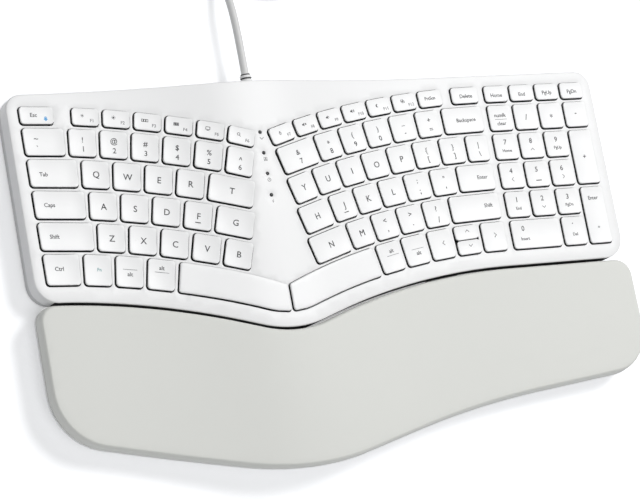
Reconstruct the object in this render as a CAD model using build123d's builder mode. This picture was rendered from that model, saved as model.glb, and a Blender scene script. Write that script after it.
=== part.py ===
"""Ergonomic keyboard with a domed split key field and a padded palm rest, in millimetres.

The floor is z = 0 and x = 0 is the middle of the body. The front is towards -y.
Both halves of the key field are rows of concentric arcs, and the deck rises over the split.
"""

from build123d import *
import os
from math import asin, atan2, cos, degrees, hypot, pi, radians, sin, sqrt, tan

os.makedirs("parts", exist_ok=True)

# Body
case_width = 404.6
case_rear = 117.0
case_front = -6.3
rear_corner_radius = 10.0
front_corner_radius = 14.0
deck_height = 18.0
deck_thickness = 2.2
case_wall = 2.0
parting_height = 8.5
case_bottom = 1.0
floor_thickness = 2.0
tray_draw_in = 1.6
deck_edge_radius = 1.6

# Dome over the split
split_x = -47.0
dome_height = 9.93
crest_radius = 200.0
foot_radius = 560.0
dome_slope = radians(8.07)

# Rows of keys: concentric arcs about one centre on each side of the split
key_pitch = 19.05
key_width = 16.4
arc_centre_y = -415.8
apex_reach = 161.65
sweep_angle = radians(18.14)
nose_radius = 65.0
left_key_edge = -194.6
right_key_edge = 115.6
numpad_left = 121.0
key_gap = key_pitch - key_width
half_key_gap = 1.0
space_split_gap = 1.8
space_front_margin = 9.9

# Front edge of each row on its straight part, and the depth of its caps
key_rows = {
    "function": (99.2, 10.2),
    "number": (80.4, 16.2),
    "upper": (61.6, 16.2),
    "home": (42.8, 16.2),
    "lower": (24.0, 16.2),
    "space": (3.6, 18.0),
}

# Caps
cap_height = 2.0
cap_draft = 3.0
cap_wall = 1.1
cap_top = 1.2
skirt_depth = 2.6
cap_corner_cut = 1.3
well_clearance = 0.4
key_travel = 1.8
stem_side = 4.0
stem_gap = 0.2
space_stems = (12.0, 36.0, 58.0)
space_stem_shift = 1.0

# Layers under the deck, each the deck's own curve moved straight down
dome_top_depth = 1.8
dome_sheet_depth = 4.9
dome_sheet_thickness = 0.5
dome_base_radius = 4.2
dome_crown_radius = 2.2
dome_sides = 5
layer_gap = 0.1
membrane_thickness = 0.3
plate_thickness = 0.8
layer_inset = 8.5
layer_split_gap = 1.2
bay_line = ((21.5, 0.5), (5.2, 78.0))
bay_front = -7.0
bay_rear = 92.0

# Tray ribs, screws and pads
rib_thickness = 1.6
rib_rows = (14.0, 52.0, 90.0)
rib_columns = (-175.0, -100.0, 20.0, 75.0, 175.0)
board_bay_reach = 26.0
screw_inset = 4.6
screw_shank = 2.3
screw_head = 4.4
screw_head_height = 1.5
screw_length = 9.0
screw_clearance = 0.1
boss_diameter = 5.0
boss_clearance = 0.3
seat_height = 4.6
screw_socket_depth = 0.9
screw_socket_radius = 0.6
round_sides = 8
rear_screws = (-170.0, -85.0, 0.0, 85.0, 170.0)
front_screws = (-185.0, -120.0, 26.0, 118.0, 185.0)
pad_thickness = 1.6
pad_recess = 0.6
pad_fit = 0.2
body_pads = ((-178.0, 20.0), (178.0, 20.0), (-120.0, 96.0), (120.0, 96.0), (split_x, -14.0))
body_pad_size = (22.0, 8.0)

# Controller board and lights
board_height = 17.0
board_thickness = 1.6
board_front = 10.0
board_rear = 96.0
board_front_width = 40.0
board_rear_width = 9.0
board_post_places = ((0.0, 6.0), (-12.0, 18.0), (0.0, 82.0))
post_radius = 2.5
pin_radius = 1.0
pin_head = 0.6
pin_clearance = 0.2
chip_height = 1.2
chip_size = (9.0, 9.0)
chip_place = (7.0, 18.0)
socket_size = (10.0, 4.0)
socket_place = (-3.0, 30.0)
emitter_size = (2.0, 1.6)
light_rows = (45.8, 59.0, 71.8, 84.6)
light_diameter = 1.3
light_hole_clearance = 0.2
guide_width = 3.0
guide_thickness = 1.2
emitter_height = 0.9

# Tilt feet
foot_x = 150.0
foot_width = 24.0
foot_length = 17.0
foot_thickness = 3.0
foot_axis_y = 103.0
foot_axis_z = 3.3
foot_knuckle_radius = 1.9
foot_pin_radius = 1.2
foot_pin_length = 1.6
foot_clearance = 0.4
foot_toe_run = 2.0
foot_toe_drop = 1.5
foot_window = (12.0, 5.6)

# Palm rest
palm_width = 408.0
palm_gap = 1.2
palm_rim_top = -4.3
palm_rim_height = 1.7
palm_base_bottom = 1.0
palm_draw_in = 8.4
palm_draw_height = 24.0
palm_wall = 2.2
palm_rear_radius = 11.0
palm_left_radius = 36.0
palm_right_radius = 28.0
palm_nose_radius = 170.0
palm_sweep_radius = 590.0
palm_left_y = -86.6
palm_right_y = -78.0
palm_sweep_point = (75.7, -90.4)
palm_nose_y = -122.3
palm_nose_shift = 3.0
palm_rear_draw = 1.0
palm_rib_columns = (-150.0, -100.0, split_x, 5.0, 60.0, 115.0, 165.0)
palm_cross_rib = -50.0
palm_pads = ((-165.0, -62.0), (165.0, -56.0), (-60.0, -95.0), (60.0, -70.0), (split_x, -52.0))
palm_pad_size = (24.0, 8.0)
pad_crown = ((20.0, 2.2), (-30.0, 2.9), (-75.0, 2.9), (-125.0, 0.6))
pad_gap = 0.1
pad_side_inset = 0.6
pad_side_lean = 4.0
pad_rear_lean = 1.0
tongue_width = 22.0
tongue_thickness = 2.6
tongue_reach = 9.0
tongue_height = 5.4
tongue_clearance = 0.3
tongue_places = (-152.0, 72.0, 152.0)

# Cable
cable_diameter = 4.7
relief_x = -42.6
relief_z = 14.5
relief_length = 10.4
relief_radius = 3.9
relief_end_radius = 3.3
relief_neck = 3.4
relief_flange = 4.6
relief_ring_pitch = 2.0
relief_groove = 0.5
relief_clearance = 0.15
relief_flange_thickness = 1.3
coil_turns = 8
coil_outer_radius = 35.5
coil_pitch = 5.2
coil_layer = 4.8
coil_centre_y = 218.0
coil_centre_x = -7.5
coil_section = 3.8
plug_body = (16.0, 25.0, 8.0)
plug_shell = (12.0, 12.0, 4.5)
plug_corner_radius = 2.0
shell_wall = 0.3
plug_tongue_fit = 0.2
plug_tongue_short = 1.5

# Worked out from the sizes above
sweep_radius = case_front - arc_centre_y
sweep_reach = apex_reach - sweep_radius * tan(sweep_angle / 2)
nose_drop = sweep_reach * tan(sweep_angle)
crest_reach = crest_radius * sin(dome_slope)
crest_drop = crest_radius * (1 - cos(dome_slope))
foot_reach = foot_radius * sin(dome_slope)
foot_rise = foot_radius * (1 - cos(dome_slope))
ramp_rise = dome_height - crest_drop - foot_rise
ramp_reach = ramp_rise / tan(dome_slope)
dome_reach = crest_reach + ramp_reach + foot_reach
skirt_flare = (cap_height + skirt_depth) * tan(radians(cap_draft))
membrane_depth = dome_sheet_depth + dome_sheet_thickness + layer_gap
plate_depth = membrane_depth + membrane_thickness + layer_gap
rib_depth = plate_depth + plate_thickness + layer_gap
tray_floor = case_bottom + floor_thickness
overhang = case_width


def deck_rise(x):
    """Height of the deck over its flat part."""
    reach = abs(x - split_x)
    if reach < crest_reach:
        return dome_height - crest_radius + sqrt(crest_radius**2 - reach**2)
    if reach < crest_reach + ramp_reach:
        return dome_height - crest_drop - (reach - crest_reach) * tan(dome_slope)
    if reach < dome_reach:
        return foot_radius - sqrt(foot_radius**2 - (dome_reach - reach) ** 2)
    return 0.0


def deck_angle(x):
    """Slope of the deck in radians, rising towards +x where it is positive."""
    reach = abs(x - split_x)
    side = 1 if x < split_x else -1
    if reach < crest_reach:
        return side * asin(reach / crest_radius)
    if reach < crest_reach + ramp_reach:
        return side * dome_slope
    if reach < dome_reach:
        return side * asin((dome_reach - reach) / foot_radius)
    return 0.0


def deck_line(offset_z):
    """The deck's curve across the whole body, moved up by offset_z."""
    flat_z = deck_height + offset_z
    turn = degrees(dome_slope)
    ramp_length = hypot(ramp_reach, ramp_rise)
    left = Line((split_x - overhang, flat_z), (split_x - dome_reach, flat_z))
    left_foot = JernArc(left @ 1, (1, 0), foot_radius, turn)
    left_ramp = PolarLine(left_foot @ 1, ramp_length, turn)
    crest = JernArc(left_ramp @ 1, left_ramp % 1, crest_radius, -2 * turn)
    right_ramp = PolarLine(crest @ 1, ramp_length, -turn)
    right_foot = JernArc(right_ramp @ 1, right_ramp % 1, foot_radius, turn)
    return left @ 0, Line(right_foot @ 1, (split_x + overhang, flat_z)) @ 1


def deck_band(top, bottom, mode=Mode.INTERSECT):
    """Everything between two copies of the deck's curve."""
    with BuildSketch(Plane.XZ) as band:
        with BuildLine():
            top_left, top_right = deck_line(top)
            bottom_left, bottom_right = deck_line(bottom)
            Line(top_left, bottom_left)
            Line(top_right, bottom_right)
        make_face()
    return extrude(band.sketch, amount=2 * case_width, both=True, mode=mode)


def under_deck(top, bottom_z, mode=Mode.INTERSECT):
    """Everything below the deck's curve and above a level."""
    with BuildSketch(Plane.XZ) as region:
        with BuildLine():
            top_left, top_right = deck_line(top)
            Polyline(
                top_left,
                (split_x - overhang, bottom_z),
                (split_x + overhang, bottom_z),
                top_right,
            )
        make_face()
    return extrude(region.sketch, amount=2 * case_width, both=True, mode=mode)


def swept_line(level, change, far_y):
    """A front edge that sweeps round the split, closed off at far_y."""
    FilletPolyline(
        (split_x - overhang, far_y),
        (split_x - overhang, level),
        (split_x - sweep_reach, level),
        (split_x, level - nose_drop),
        (split_x + sweep_reach, level),
        (split_x + overhang, level),
        (split_x + overhang, far_y),
        radius=[0, 0, sweep_radius - change, nose_radius + change, sweep_radius - change, 0, 0],
        close=True,
    )


def case_face(inset=0.0):
    """Plan of the body: straight sides and rear, a front swept round the split."""
    with BuildSketch() as plan:
        with BuildLine():
            swept_line(case_front, 0.0, case_rear)
        make_face()
        with Locations((0, case_rear)):
            Rectangle(case_width, case_width, align=(Align.CENTER, Align.MAX), mode=Mode.INTERSECT)
        fillet(plan.vertices().group_by(Axis.Y)[-1], rear_corner_radius)
        outer = plan.vertices().group_by(Axis.X)
        fillet([outer[0].sort_by(Axis.Y)[0], outer[-1].sort_by(Axis.Y)[0]], front_corner_radius)
        if inset:
            offset(amount=-inset)
    return plan.sketch


def front_edge(x):
    """Front of the body at x, outside the nose."""
    run = apex_reach - abs(x - split_x)
    if run <= 0:
        return case_front
    return arc_centre_y + sqrt(sweep_radius**2 - run**2)


def row_frame(side, row, along):
    """Point on a row's front arc, the way along it and the way to the rear."""
    radius = key_rows[row][0] - arc_centre_y
    angle = along / radius
    point = Vector(
        split_x + side * (apex_reach - radius * sin(angle)),
        arc_centre_y + radius * cos(angle),
    )
    return point, Vector(-side * cos(angle), -sin(angle)), Vector(-side * sin(angle), cos(angle))


def row_key(side, row, start, width):
    """Corners of a cap that begins at a distance from the apex along its row."""
    point, along, back = row_frame(side, row, start + width / 2)
    depth = key_rows[row][1]
    near = point - along * (width / 2)
    far = point + along * (width / 2)
    return [near, far, far + back * depth, near + back * depth]


def edge_key(side, row, end):
    """Corners of a cap between a block's straight outer side and a place on its row."""
    outer_x = left_key_edge if side < 0 else right_key_edge
    outer = apex_reach - side * (outer_x - split_x)
    point, along, back = row_frame(side, row, (outer + end) / 2)
    depth = key_rows[row][1]
    far = point + along * ((end - outer) / 2)
    front = point + along * ((outer_x - point.X) / along.X)
    rear_point = point + back * depth
    rear = rear_point + along * ((outer_x - rear_point.X) / along.X)
    return [front, far, far + back * depth, rear]


def numpad_key(column, row, columns=1, last_row=None):
    """Corners of a number pad cap, one or more columns wide and rows deep."""
    left = numpad_left + column * key_pitch
    right = left + key_width + (columns - 1) * key_pitch
    front = key_rows[row][0]
    rear = key_rows[last_row or row][0] + key_rows[last_row or row][1]
    return [Vector(left, front), Vector(right, front), Vector(right, rear), Vector(left, rear)]


def left_keys(row, start, count, last_width=key_width):
    """Caps of the left block, from the outer side to the split."""
    widths = [key_width] * (count - 1) + [last_width]
    return [row_key(-1, row, start + n * key_pitch, width) for n, width in enumerate(widths)]


def right_keys(row, edge, count, first_width=key_width):
    """Caps of the right block, from the split to the edge cap."""
    keys = [row_key(1, row, edge + key_gap + n * key_pitch, key_width) for n in range(count - 1)]
    last = edge + key_gap + (count - 1) * key_pitch
    return [row_key(1, row, last, first_width)] + keys[::-1]


def half_key(key, rear):
    """Front or rear half of a cap that shares its place with another."""
    near, far, far_back, near_back = key
    back = (far_back - far).normalized()
    depth = ((far_back - far).length - half_key_gap) / 2
    if rear:
        return [near_back - back * depth, far_back - back * depth, far_back, near_back]
    return [near, far, far + back * depth, near + back * depth]


# Distance from the left apex to each row's first plain cap, then where each right edge cap ends
left_starts = {
    "function": 45.9,
    "number": 41.2,
    "upper": 46.0,
    "home": 47.3,
    "lower": 49.0,
    "space": 37.3,
}
right_ends = {
    "function": 25.6 - key_gap,
    "number": 27.15,
    "upper": 13.96,
    "home": 24.56,
    "lower": 34.24,
    "space": 15.4,
}
escape_end = 34.4
delete_end = 18.0
vertical_arrows = row_key(1, "space", right_ends["space"] + key_gap, key_width)

keys = {
    "esc_key": [edge_key(-1, "function", escape_end)],
    "function_keys_left": left_keys("function", left_starts["function"], 6),
    "backquote_key": [edge_key(-1, "number", left_starts["number"] - key_gap)],
    "number_keys_left": left_keys("number", left_starts["number"], 6),
    "tab_key": [edge_key(-1, "upper", left_starts["upper"] - key_gap)],
    "upper_keys_left": left_keys("upper", left_starts["upper"], 5, 27.5),
    "caps_lock_key": [edge_key(-1, "home", left_starts["home"] - key_gap)],
    "home_keys_left": left_keys("home", left_starts["home"], 5, 22.6),
    "left_shift_key": [edge_key(-1, "lower", left_starts["lower"] - key_gap)],
    "lower_keys_left": left_keys("lower", left_starts["lower"], 5),
    "left_control_key": [edge_key(-1, "space", left_starts["space"] - key_gap)],
    "modifier_keys_left": left_keys("space", left_starts["space"], 3),
    "function_keys_right": right_keys("function", right_ends["function"], 7),
    "delete_key": [edge_key(1, "function", delete_end)],
    "number_keys_right": right_keys("number", right_ends["number"], 6, 26.5),
    "backspace_key": [edge_key(1, "number", right_ends["number"])],
    "upper_keys_right": right_keys("upper", right_ends["upper"], 7)
    + [edge_key(1, "upper", right_ends["upper"])],
    "home_keys_right": right_keys("home", right_ends["home"], 6, 21.5),
    "enter_key": [edge_key(1, "home", right_ends["home"])],
    "lower_keys_right": right_keys("lower", right_ends["lower"], 5, 27.4),
    "right_shift_key": [edge_key(1, "lower", right_ends["lower"])],
    "modifier_keys_right": right_keys("space", right_ends["space"] + 2 * key_pitch, 2),
    "arrow_left_key": [row_key(1, "space", right_ends["space"] + key_gap + key_pitch, key_width)],
    "arrow_up_key": [half_key(vertical_arrows, rear=True)],
    "arrow_down_key": [half_key(vertical_arrows, rear=False)],
    "arrow_right_key": [edge_key(1, "space", right_ends["space"])],
    "navigation_keys": [numpad_key(column, "function") for column in range(4)],
    "numpad_top_keys": [numpad_key(column, "number") for column in range(4)],
    "numpad_upper_keys": [numpad_key(column, "upper") for column in range(3)],
    "numpad_home_keys": [numpad_key(column, "home") for column in range(3)],
    "numpad_lower_keys": [numpad_key(column, "lower") for column in range(3)],
    "numpad_plus_key": [numpad_key(3, "home", last_row="upper")],
    "numpad_enter_key": [numpad_key(3, "space", last_row="lower")],
    "numpad_zero_key": [numpad_key(0, "space", columns=2)],
    "numpad_decimal_key": [numpad_key(2, "space")],
}

# The space bars take what is left of the lowest row, up to the split
space_starts = {
    "left_space_bar": (-1, left_starts["space"] + 3 * key_pitch),
    "right_space_bar": (1, right_ends["space"] + key_gap + 4 * key_pitch),
}


def deck_plane(x, y, depth=0.0):
    """Plane that touches the deck at a place and is then moved down by depth."""
    angle = deck_angle(x)
    return Plane(
        origin=(x, y, deck_height + deck_rise(x)),
        x_dir=(cos(angle), 0, sin(angle)),
        z_dir=(-sin(angle), 0, cos(angle)),
    ).offset(-depth)


def key_plane(key, depth=0.0):
    """Plane of a cap, which touches the deck at the cap's middle."""
    middle = (key[0] + key[1] + key[2] + key[3]) / 4
    return deck_plane(middle.X, middle.Y, depth)


def key_face(key, depth, grow, corner_cut=0.0):
    """A cap's outline on its own plane, grown by a margin."""
    plane = key_plane(key)
    tilt = cos(deck_angle(plane.origin.X))
    corners = [((c.X - plane.origin.X) / tilt, c.Y - plane.origin.Y) for c in key]
    with BuildSketch(key_plane(key, depth)) as outline:
        Polygon(*corners, align=None)
        offset(amount=grow, kind=Kind.INTERSECTION)
        if corner_cut:
            chamfer(outline.vertices(), corner_cut)
    return outline.sketch


def add_cap(key):
    """One cap with its skirt, its hollow and the stem that stands on the rubber dome."""
    extrude(
        key_face(key, skirt_depth, skirt_flare, cap_corner_cut),
        amount=skirt_depth + cap_height,
        taper=cap_draft,
    )
    extrude(
        key_face(key, skirt_depth, -cap_wall),
        amount=skirt_depth + cap_height - cap_top,
        mode=Mode.SUBTRACT,
    )
    stem_foot = dome_top_depth - stem_gap
    with BuildSketch(key_plane(key, stem_foot)) as stem:
        Rectangle(stem_side, stem_side)
    extrude(stem.sketch, amount=stem_foot + cap_height - cap_top / 2)


def space_face(name, grow):
    """Plan of a space bar: it follows the body's front edge and its own row's rear arc."""
    side, start = space_starts[name]
    front, depth = key_rows["space"]
    point, along, back = row_frame(side, "space", start - grow)
    centre = (split_x + side * apex_reach, arc_centre_y)
    far = split_x + side * (space_split_gap / 2 - grow)
    with BuildSketch() as plan:
        add(case_face(space_front_margin - grow))
        with Locations(centre):
            Circle(front + depth + grow - arc_centre_y, mode=Mode.INTERSECT)
        with BuildLine():
            Polyline(
                point - back * overhang,
                point + back * overhang,
                (far, case_rear),
                (far, -case_width),
                close=True,
            )
        make_face(mode=Mode.INTERSECT)
    return plan.sketch


def space_stem_places(name):
    """Middle post and two guide posts, along the bar."""
    side, start = space_starts[name]
    depth = key_rows["space"][1]
    places = []
    for along in space_stems:
        point, _, back = row_frame(side, "space", start + along)
        places.append(point + back * (depth / 2 - space_stem_shift))
    return places


# Caps: each named row piece is one node, and every cap in it is a solid of its own
for name, group in keys.items():
    with BuildPart() as caps:
        for key in group:
            add_cap(key)
    caps.part.label = name
    export_step(caps.part, f"parts/{name}.step")

for name in space_starts:
    with BuildPart() as space_bar:
        extrude(space_face(name, 0.0), amount=2 * deck_height)
        deck_band(cap_height, -skirt_depth)
        with BuildPart(mode=Mode.PRIVATE) as hollow:
            extrude(space_face(name, -cap_wall), amount=2 * deck_height)
            deck_band(cap_height - cap_top, -skirt_depth - 1)
        add(hollow.part, mode=Mode.SUBTRACT)
        for place in space_stem_places(name):
            with BuildSketch(deck_plane(place.X, place.Y, dome_top_depth - stem_gap)) as post:
                Rectangle(stem_side, stem_side)
            extrude(post.sketch, amount=dome_top_depth - stem_gap + cap_height - cap_top / 2)
    space_bar.part.label = name
    export_step(space_bar.part, f"parts/{name}.step")

# Top housing: a shell under the deck's curve, with screw bosses and one well for each cap
def edge_screw_places():
    """Screws along the rear and the front of the body."""
    rear = [(x, case_rear - screw_inset) for x in rear_screws]
    front = [(x, front_edge(x) + screw_inset) for x in front_screws]
    return rear + front


def cut_well(key):
    """A well with clearance all round the skirt, along the cap's own way of travel."""
    depth = skirt_depth + key_travel + well_clearance
    extrude(
        key_face(key, depth, skirt_flare + well_clearance, cap_corner_cut),
        amount=depth + cap_height,
        mode=Mode.SUBTRACT,
    )


with BuildPart() as top_housing:
    with BuildSketch(Plane.XY.offset(parting_height)) as walls:
        add(case_face())
    extrude(amount=2 * deck_height)
    under_deck(0.0, 0.0)
    rim = top_housing.edges().filter_by_position(Axis.Z, deck_height - 0.01, 2 * deck_height)
    fillet(rim, deck_edge_radius)
    with BuildPart(mode=Mode.PRIVATE) as inside:
        with BuildSketch(Plane.XY.offset(parting_height - 1)) as inner_walls:
            add(case_face(case_wall))
        extrude(amount=2 * deck_height)
        under_deck(-deck_thickness, 0.0)
    add(inside.part, mode=Mode.SUBTRACT)
    with BuildPart(mode=Mode.PRIVATE) as bosses:
        with BuildSketch(Plane.XY.offset(seat_height + layer_gap)) as posts:
            with Locations(*edge_screw_places()):
                RegularPolygon(boss_diameter / 2, round_sides)
        extrude(amount=2 * deck_height)
        under_deck(-deck_thickness / 2, 0.0)
    add(bosses.part)
    with BuildSketch(Plane.XY.offset(seat_height)) as pilots:
        with Locations(*edge_screw_places()):
            RegularPolygon(screw_shank / 2 + screw_clearance, round_sides)
    extrude(amount=screw_length - screw_head_height, mode=Mode.SUBTRACT)
    with BuildSketch(Plane.XY.offset(deck_height)) as light_holes:
        with Locations(*[(split_x, y) for y in light_rows]):
            RegularPolygon(light_diameter / 2 + light_hole_clearance, round_sides)
    extrude(amount=deck_height, mode=Mode.SUBTRACT)
    with BuildSketch(Plane.XZ.offset(-case_rear - case_wall)) as cable_hole:
        with Locations((relief_x, relief_z)):
            Circle(relief_neck + relief_clearance)
    extrude(amount=3 * case_wall, mode=Mode.SUBTRACT)
    for name in space_starts:
        with BuildSketch() as well:
            add(space_face(name, well_clearance))
        extrude(amount=2 * deck_height, mode=Mode.SUBTRACT)
    for group in keys.values():
        for key in group:
            cut_well(key)
top_housing.part.label = "top_housing"
export_step(top_housing.part, "parts/top_housing.step")

# Bottom housing: a tray with a drawn-in lower edge, ribs under the plates and screw seats
foot_places = {"left_tilt_foot": -foot_x, "right_tilt_foot": foot_x}
pocket_front = foot_axis_y - foot_length - foot_clearance
pocket_rear = foot_axis_y + foot_knuckle_radius + 2 * foot_clearance
pocket_width = foot_width + 2 * foot_clearance
pocket_top = foot_axis_z + foot_knuckle_radius + foot_clearance
pocket_wall = 1.6
board_posts = [(split_x + reach, board_front + y) for reach, y in board_post_places]

with BuildPart() as bottom_housing:
    with BuildSketch(Plane.XY.offset(case_bottom)) as tray_foot:
        add(case_face(tray_draw_in))
    with BuildSketch(Plane.XY.offset(parting_height)) as tray_rim:
        add(case_face())
    loft(ruled=True)
    draw_share = (parting_height - tray_floor) / (parting_height - case_bottom)
    with BuildPart(mode=Mode.PRIVATE) as tray_hollow:
        with BuildSketch(Plane.XY.offset(tray_floor)) as hollow_foot:
            add(case_face(case_wall + tray_draw_in * draw_share))
        with BuildSketch(Plane.XY.offset(parting_height)) as hollow_rim:
            add(case_face(case_wall))
        loft(ruled=True)
    add(tray_hollow.part, mode=Mode.SUBTRACT)
    with BuildPart(mode=Mode.PRIVATE) as ribs:
        with BuildSketch(Plane.XY.offset(tray_floor - floor_thickness / 4)) as rib_plan:
            for y in rib_rows:
                with Locations((0, y)):
                    Rectangle(case_width, rib_thickness)
            with Locations(*[(x, case_rear / 2) for x in rib_columns]):
                Rectangle(rib_thickness, case_rear)
            add(case_face(layer_inset), mode=Mode.INTERSECT)
            with Locations((split_x, (board_front + board_rear) / 2)):
                Rectangle(2 * board_bay_reach, case_rear, mode=Mode.SUBTRACT)
        extrude(amount=deck_height)
        under_deck(-rib_depth, 0.0)
    add(ribs.part)
    with BuildSketch(Plane.XY.offset(tray_floor - floor_thickness / 4)) as seats:
        with Locations(*edge_screw_places()):
            RegularPolygon(boss_diameter / 2, round_sides)
    extrude(amount=seat_height - tray_floor + floor_thickness / 4)
    with BuildSketch(Plane.XY.offset(seat_height)) as boss_room:
        with Locations(*edge_screw_places()):
            RegularPolygon(boss_diameter / 2 + boss_clearance, round_sides)
    extrude(amount=deck_height, mode=Mode.SUBTRACT)
    with BuildSketch(Plane.XY.offset(tray_floor - floor_thickness / 4)) as post_plan:
        with Locations(*board_posts):
            RegularPolygon(post_radius, round_sides)
    extrude(amount=board_height - tray_floor + floor_thickness / 4)
    with BuildSketch(Plane.XY.offset(tray_floor - floor_thickness / 4)) as pin_plan:
        with Locations(*board_posts):
            RegularPolygon(pin_radius, round_sides)
    extrude(amount=board_height + board_thickness + pin_head - tray_floor)
    for x in foot_places.values():
        with BuildSketch(Plane.XY.offset(tray_floor - floor_thickness / 4)) as pocket_box:
            with Locations((x, (pocket_front + pocket_rear) / 2)):
                Rectangle(
                    pocket_width + 2 * (pocket_wall + foot_pin_length),
                    pocket_rear - pocket_front + 2 * pocket_wall,
                )
        extrude(amount=pocket_top + pocket_wall - tray_floor + floor_thickness / 4)
        with BuildPart(mode=Mode.PRIVATE) as foot_room:
            with BuildSketch() as pocket:
                with Locations((x, (pocket_front + pocket_rear) / 2)):
                    Rectangle(pocket_width, pocket_rear - pocket_front)
            extrude(amount=pocket_top)
            reach = foot_width / 2 + foot_pin_length + foot_clearance
            with BuildSketch(Plane.YZ.offset(x - reach)) as pin_hole:
                with Locations((foot_axis_y, foot_axis_z)):
                    Circle(foot_pin_radius + foot_clearance / 2)
            extrude(amount=2 * reach)
        add(foot_room.part, mode=Mode.SUBTRACT)
    with BuildSketch() as heads:
        with Locations(*edge_screw_places()):
            RegularPolygon(screw_head / 2 + screw_clearance, round_sides)
    extrude(amount=tray_floor, mode=Mode.SUBTRACT)
    with BuildSketch(Plane.XY.offset(case_bottom)) as shanks:
        with Locations(*edge_screw_places()):
            RegularPolygon(screw_shank / 2 + screw_clearance, round_sides)
    extrude(amount=seat_height, mode=Mode.SUBTRACT)
    with BuildSketch(Plane.XY.offset(case_bottom)) as pad_seats:
        with Locations(*body_pads):
            Rectangle(*body_pad_size)
    extrude(amount=pad_recess, mode=Mode.SUBTRACT)
    for x in tongue_places:
        with BuildSketch(Plane.XZ.offset(-front_edge(x) - 4 * case_wall)) as slot:
            with Locations((x, tongue_height)):
                Rectangle(
                    tongue_width + 2 * tongue_clearance,
                    tongue_thickness + 2 * tongue_clearance,
                )
        extrude(amount=8 * case_wall, mode=Mode.SUBTRACT)
bottom_housing.part.label = "bottom_housing"
export_step(bottom_housing.part, "parts/bottom_housing.step")


# Layers under each half: rubber dome sheet, printed membrane and steel plate
def layer_face(side):
    """Plan of a layer: the body's inside on one side of the board bay."""
    split_line = [
        (layer_split_gap / 2, -case_width),
        (layer_split_gap / 2, bay_front),
        *bay_line,
        (layer_split_gap, bay_rear),
        (layer_split_gap, case_width),
        (case_width, case_width),
        (case_width, -case_width),
    ]
    with BuildSketch() as plan:
        add(case_face(layer_inset))
        with BuildLine():
            Polyline(*[(split_x + side * reach, y) for reach, y in split_line], close=True)
        make_face(mode=Mode.INTERSECT)
    return plan.sketch


def half_of(key):
    """Side of the split that a cap is on."""
    return -1 if key[0].X < split_x else 1


for side, half in ((-1, "left"), (1, "right")):
    with BuildPart() as dome_sheet:
        extrude(layer_face(side), amount=2 * deck_height)
        deck_band(-dome_sheet_depth, -dome_sheet_depth - dome_sheet_thickness)
        base_depth = dome_sheet_depth + dome_sheet_thickness / 2
        rise = base_depth - dome_top_depth
        lean = degrees(atan2((dome_base_radius - dome_crown_radius) * cos(pi / dome_sides), rise))
        planes = [
            key_plane(key, base_depth)
            for group in keys.values()
            for key in group
            if half_of(key) == side
        ]
        for name in space_starts:
            if space_starts[name][0] == side:
                place = space_stem_places(name)[1]
                planes.append(deck_plane(place.X, place.Y, base_depth))
        with BuildSketch(*planes) as dome_bases:
            RegularPolygon(dome_base_radius, dome_sides)
        extrude(dome_bases.sketch, amount=rise, taper=lean)
    dome_sheet.part.label = f"{half}_dome_sheet"
    export_step(dome_sheet.part, f"parts/{half}_dome_sheet.step")

    with BuildPart() as membrane:
        extrude(layer_face(side), amount=2 * deck_height)
        deck_band(-membrane_depth, -membrane_depth - membrane_thickness)
    membrane.part.label = f"{half}_membrane"
    export_step(membrane.part, f"parts/{half}_membrane.step")

    with BuildPart() as key_plate:
        extrude(layer_face(side), amount=2 * deck_height)
        deck_band(-plate_depth, -plate_depth - plate_thickness)
    key_plate.part.label = f"{half}_key_plate"
    export_step(key_plate.part, f"parts/{half}_key_plate.step")

# Controller board with its chip, cable socket and emitters, and the light guide over them
with BuildPart() as controller_board:
    with BuildSketch(Plane.XY.offset(board_height)) as board_plan:
        with BuildLine():
            Polyline(
                (split_x - board_front_width / 2, board_front),
                (split_x + board_front_width / 2, board_front),
                (split_x + board_rear_width / 2, board_rear),
                (split_x - board_rear_width / 2, board_rear),
                close=True,
            )
        make_face()
        with Locations(*board_posts):
            RegularPolygon(pin_radius + pin_clearance, round_sides, mode=Mode.SUBTRACT)
    extrude(amount=board_thickness)
    board_top = board_height + board_thickness
    with BuildSketch(Plane.XY.offset(board_top)) as chip:
        with Locations((split_x + chip_place[0], board_front + chip_place[1])):
            Rectangle(*chip_size)
        with Locations((split_x + socket_place[0], board_front + socket_place[1])):
            Rectangle(*socket_size)
    extrude(amount=chip_height)
    with BuildSketch(Plane.XY.offset(board_top)) as emitters:
        with Locations(*[(split_x, y) for y in light_rows]):
            Rectangle(*emitter_size)
    extrude(amount=emitter_height)
controller_board.part.label = "controller_board"
export_step(controller_board.part, "parts/controller_board.step")

with BuildPart() as indicator_lenses:
    bar_top = deck_height + dome_height - deck_thickness - layer_gap
    with BuildSketch(Plane.XY.offset(bar_top - guide_thickness)) as bar:
        with Locations((split_x, (light_rows[0] + light_rows[-1]) / 2)):
            Rectangle(guide_width, light_rows[-1] - light_rows[0] + guide_width)
    extrude(amount=guide_thickness)
    pegs_bottom = board_top + emitter_height + layer_gap
    with BuildSketch(Plane.XY.offset(pegs_bottom)) as lower_pegs:
        with Locations(*[(split_x, y) for y in light_rows]):
            RegularPolygon(light_diameter, round_sides)
    extrude(amount=bar_top - guide_thickness - pegs_bottom)
    with BuildSketch(Plane.XY.offset(bar_top)) as upper_pegs:
        with Locations(*[(split_x, y) for y in light_rows]):
            RegularPolygon(light_diameter / 2, round_sides)
    extrude(amount=deck_height + dome_height - bar_top)
indicator_lenses.part.label = "indicator_lenses"
export_step(indicator_lenses.part, "parts/indicator_lenses.step")

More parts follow.
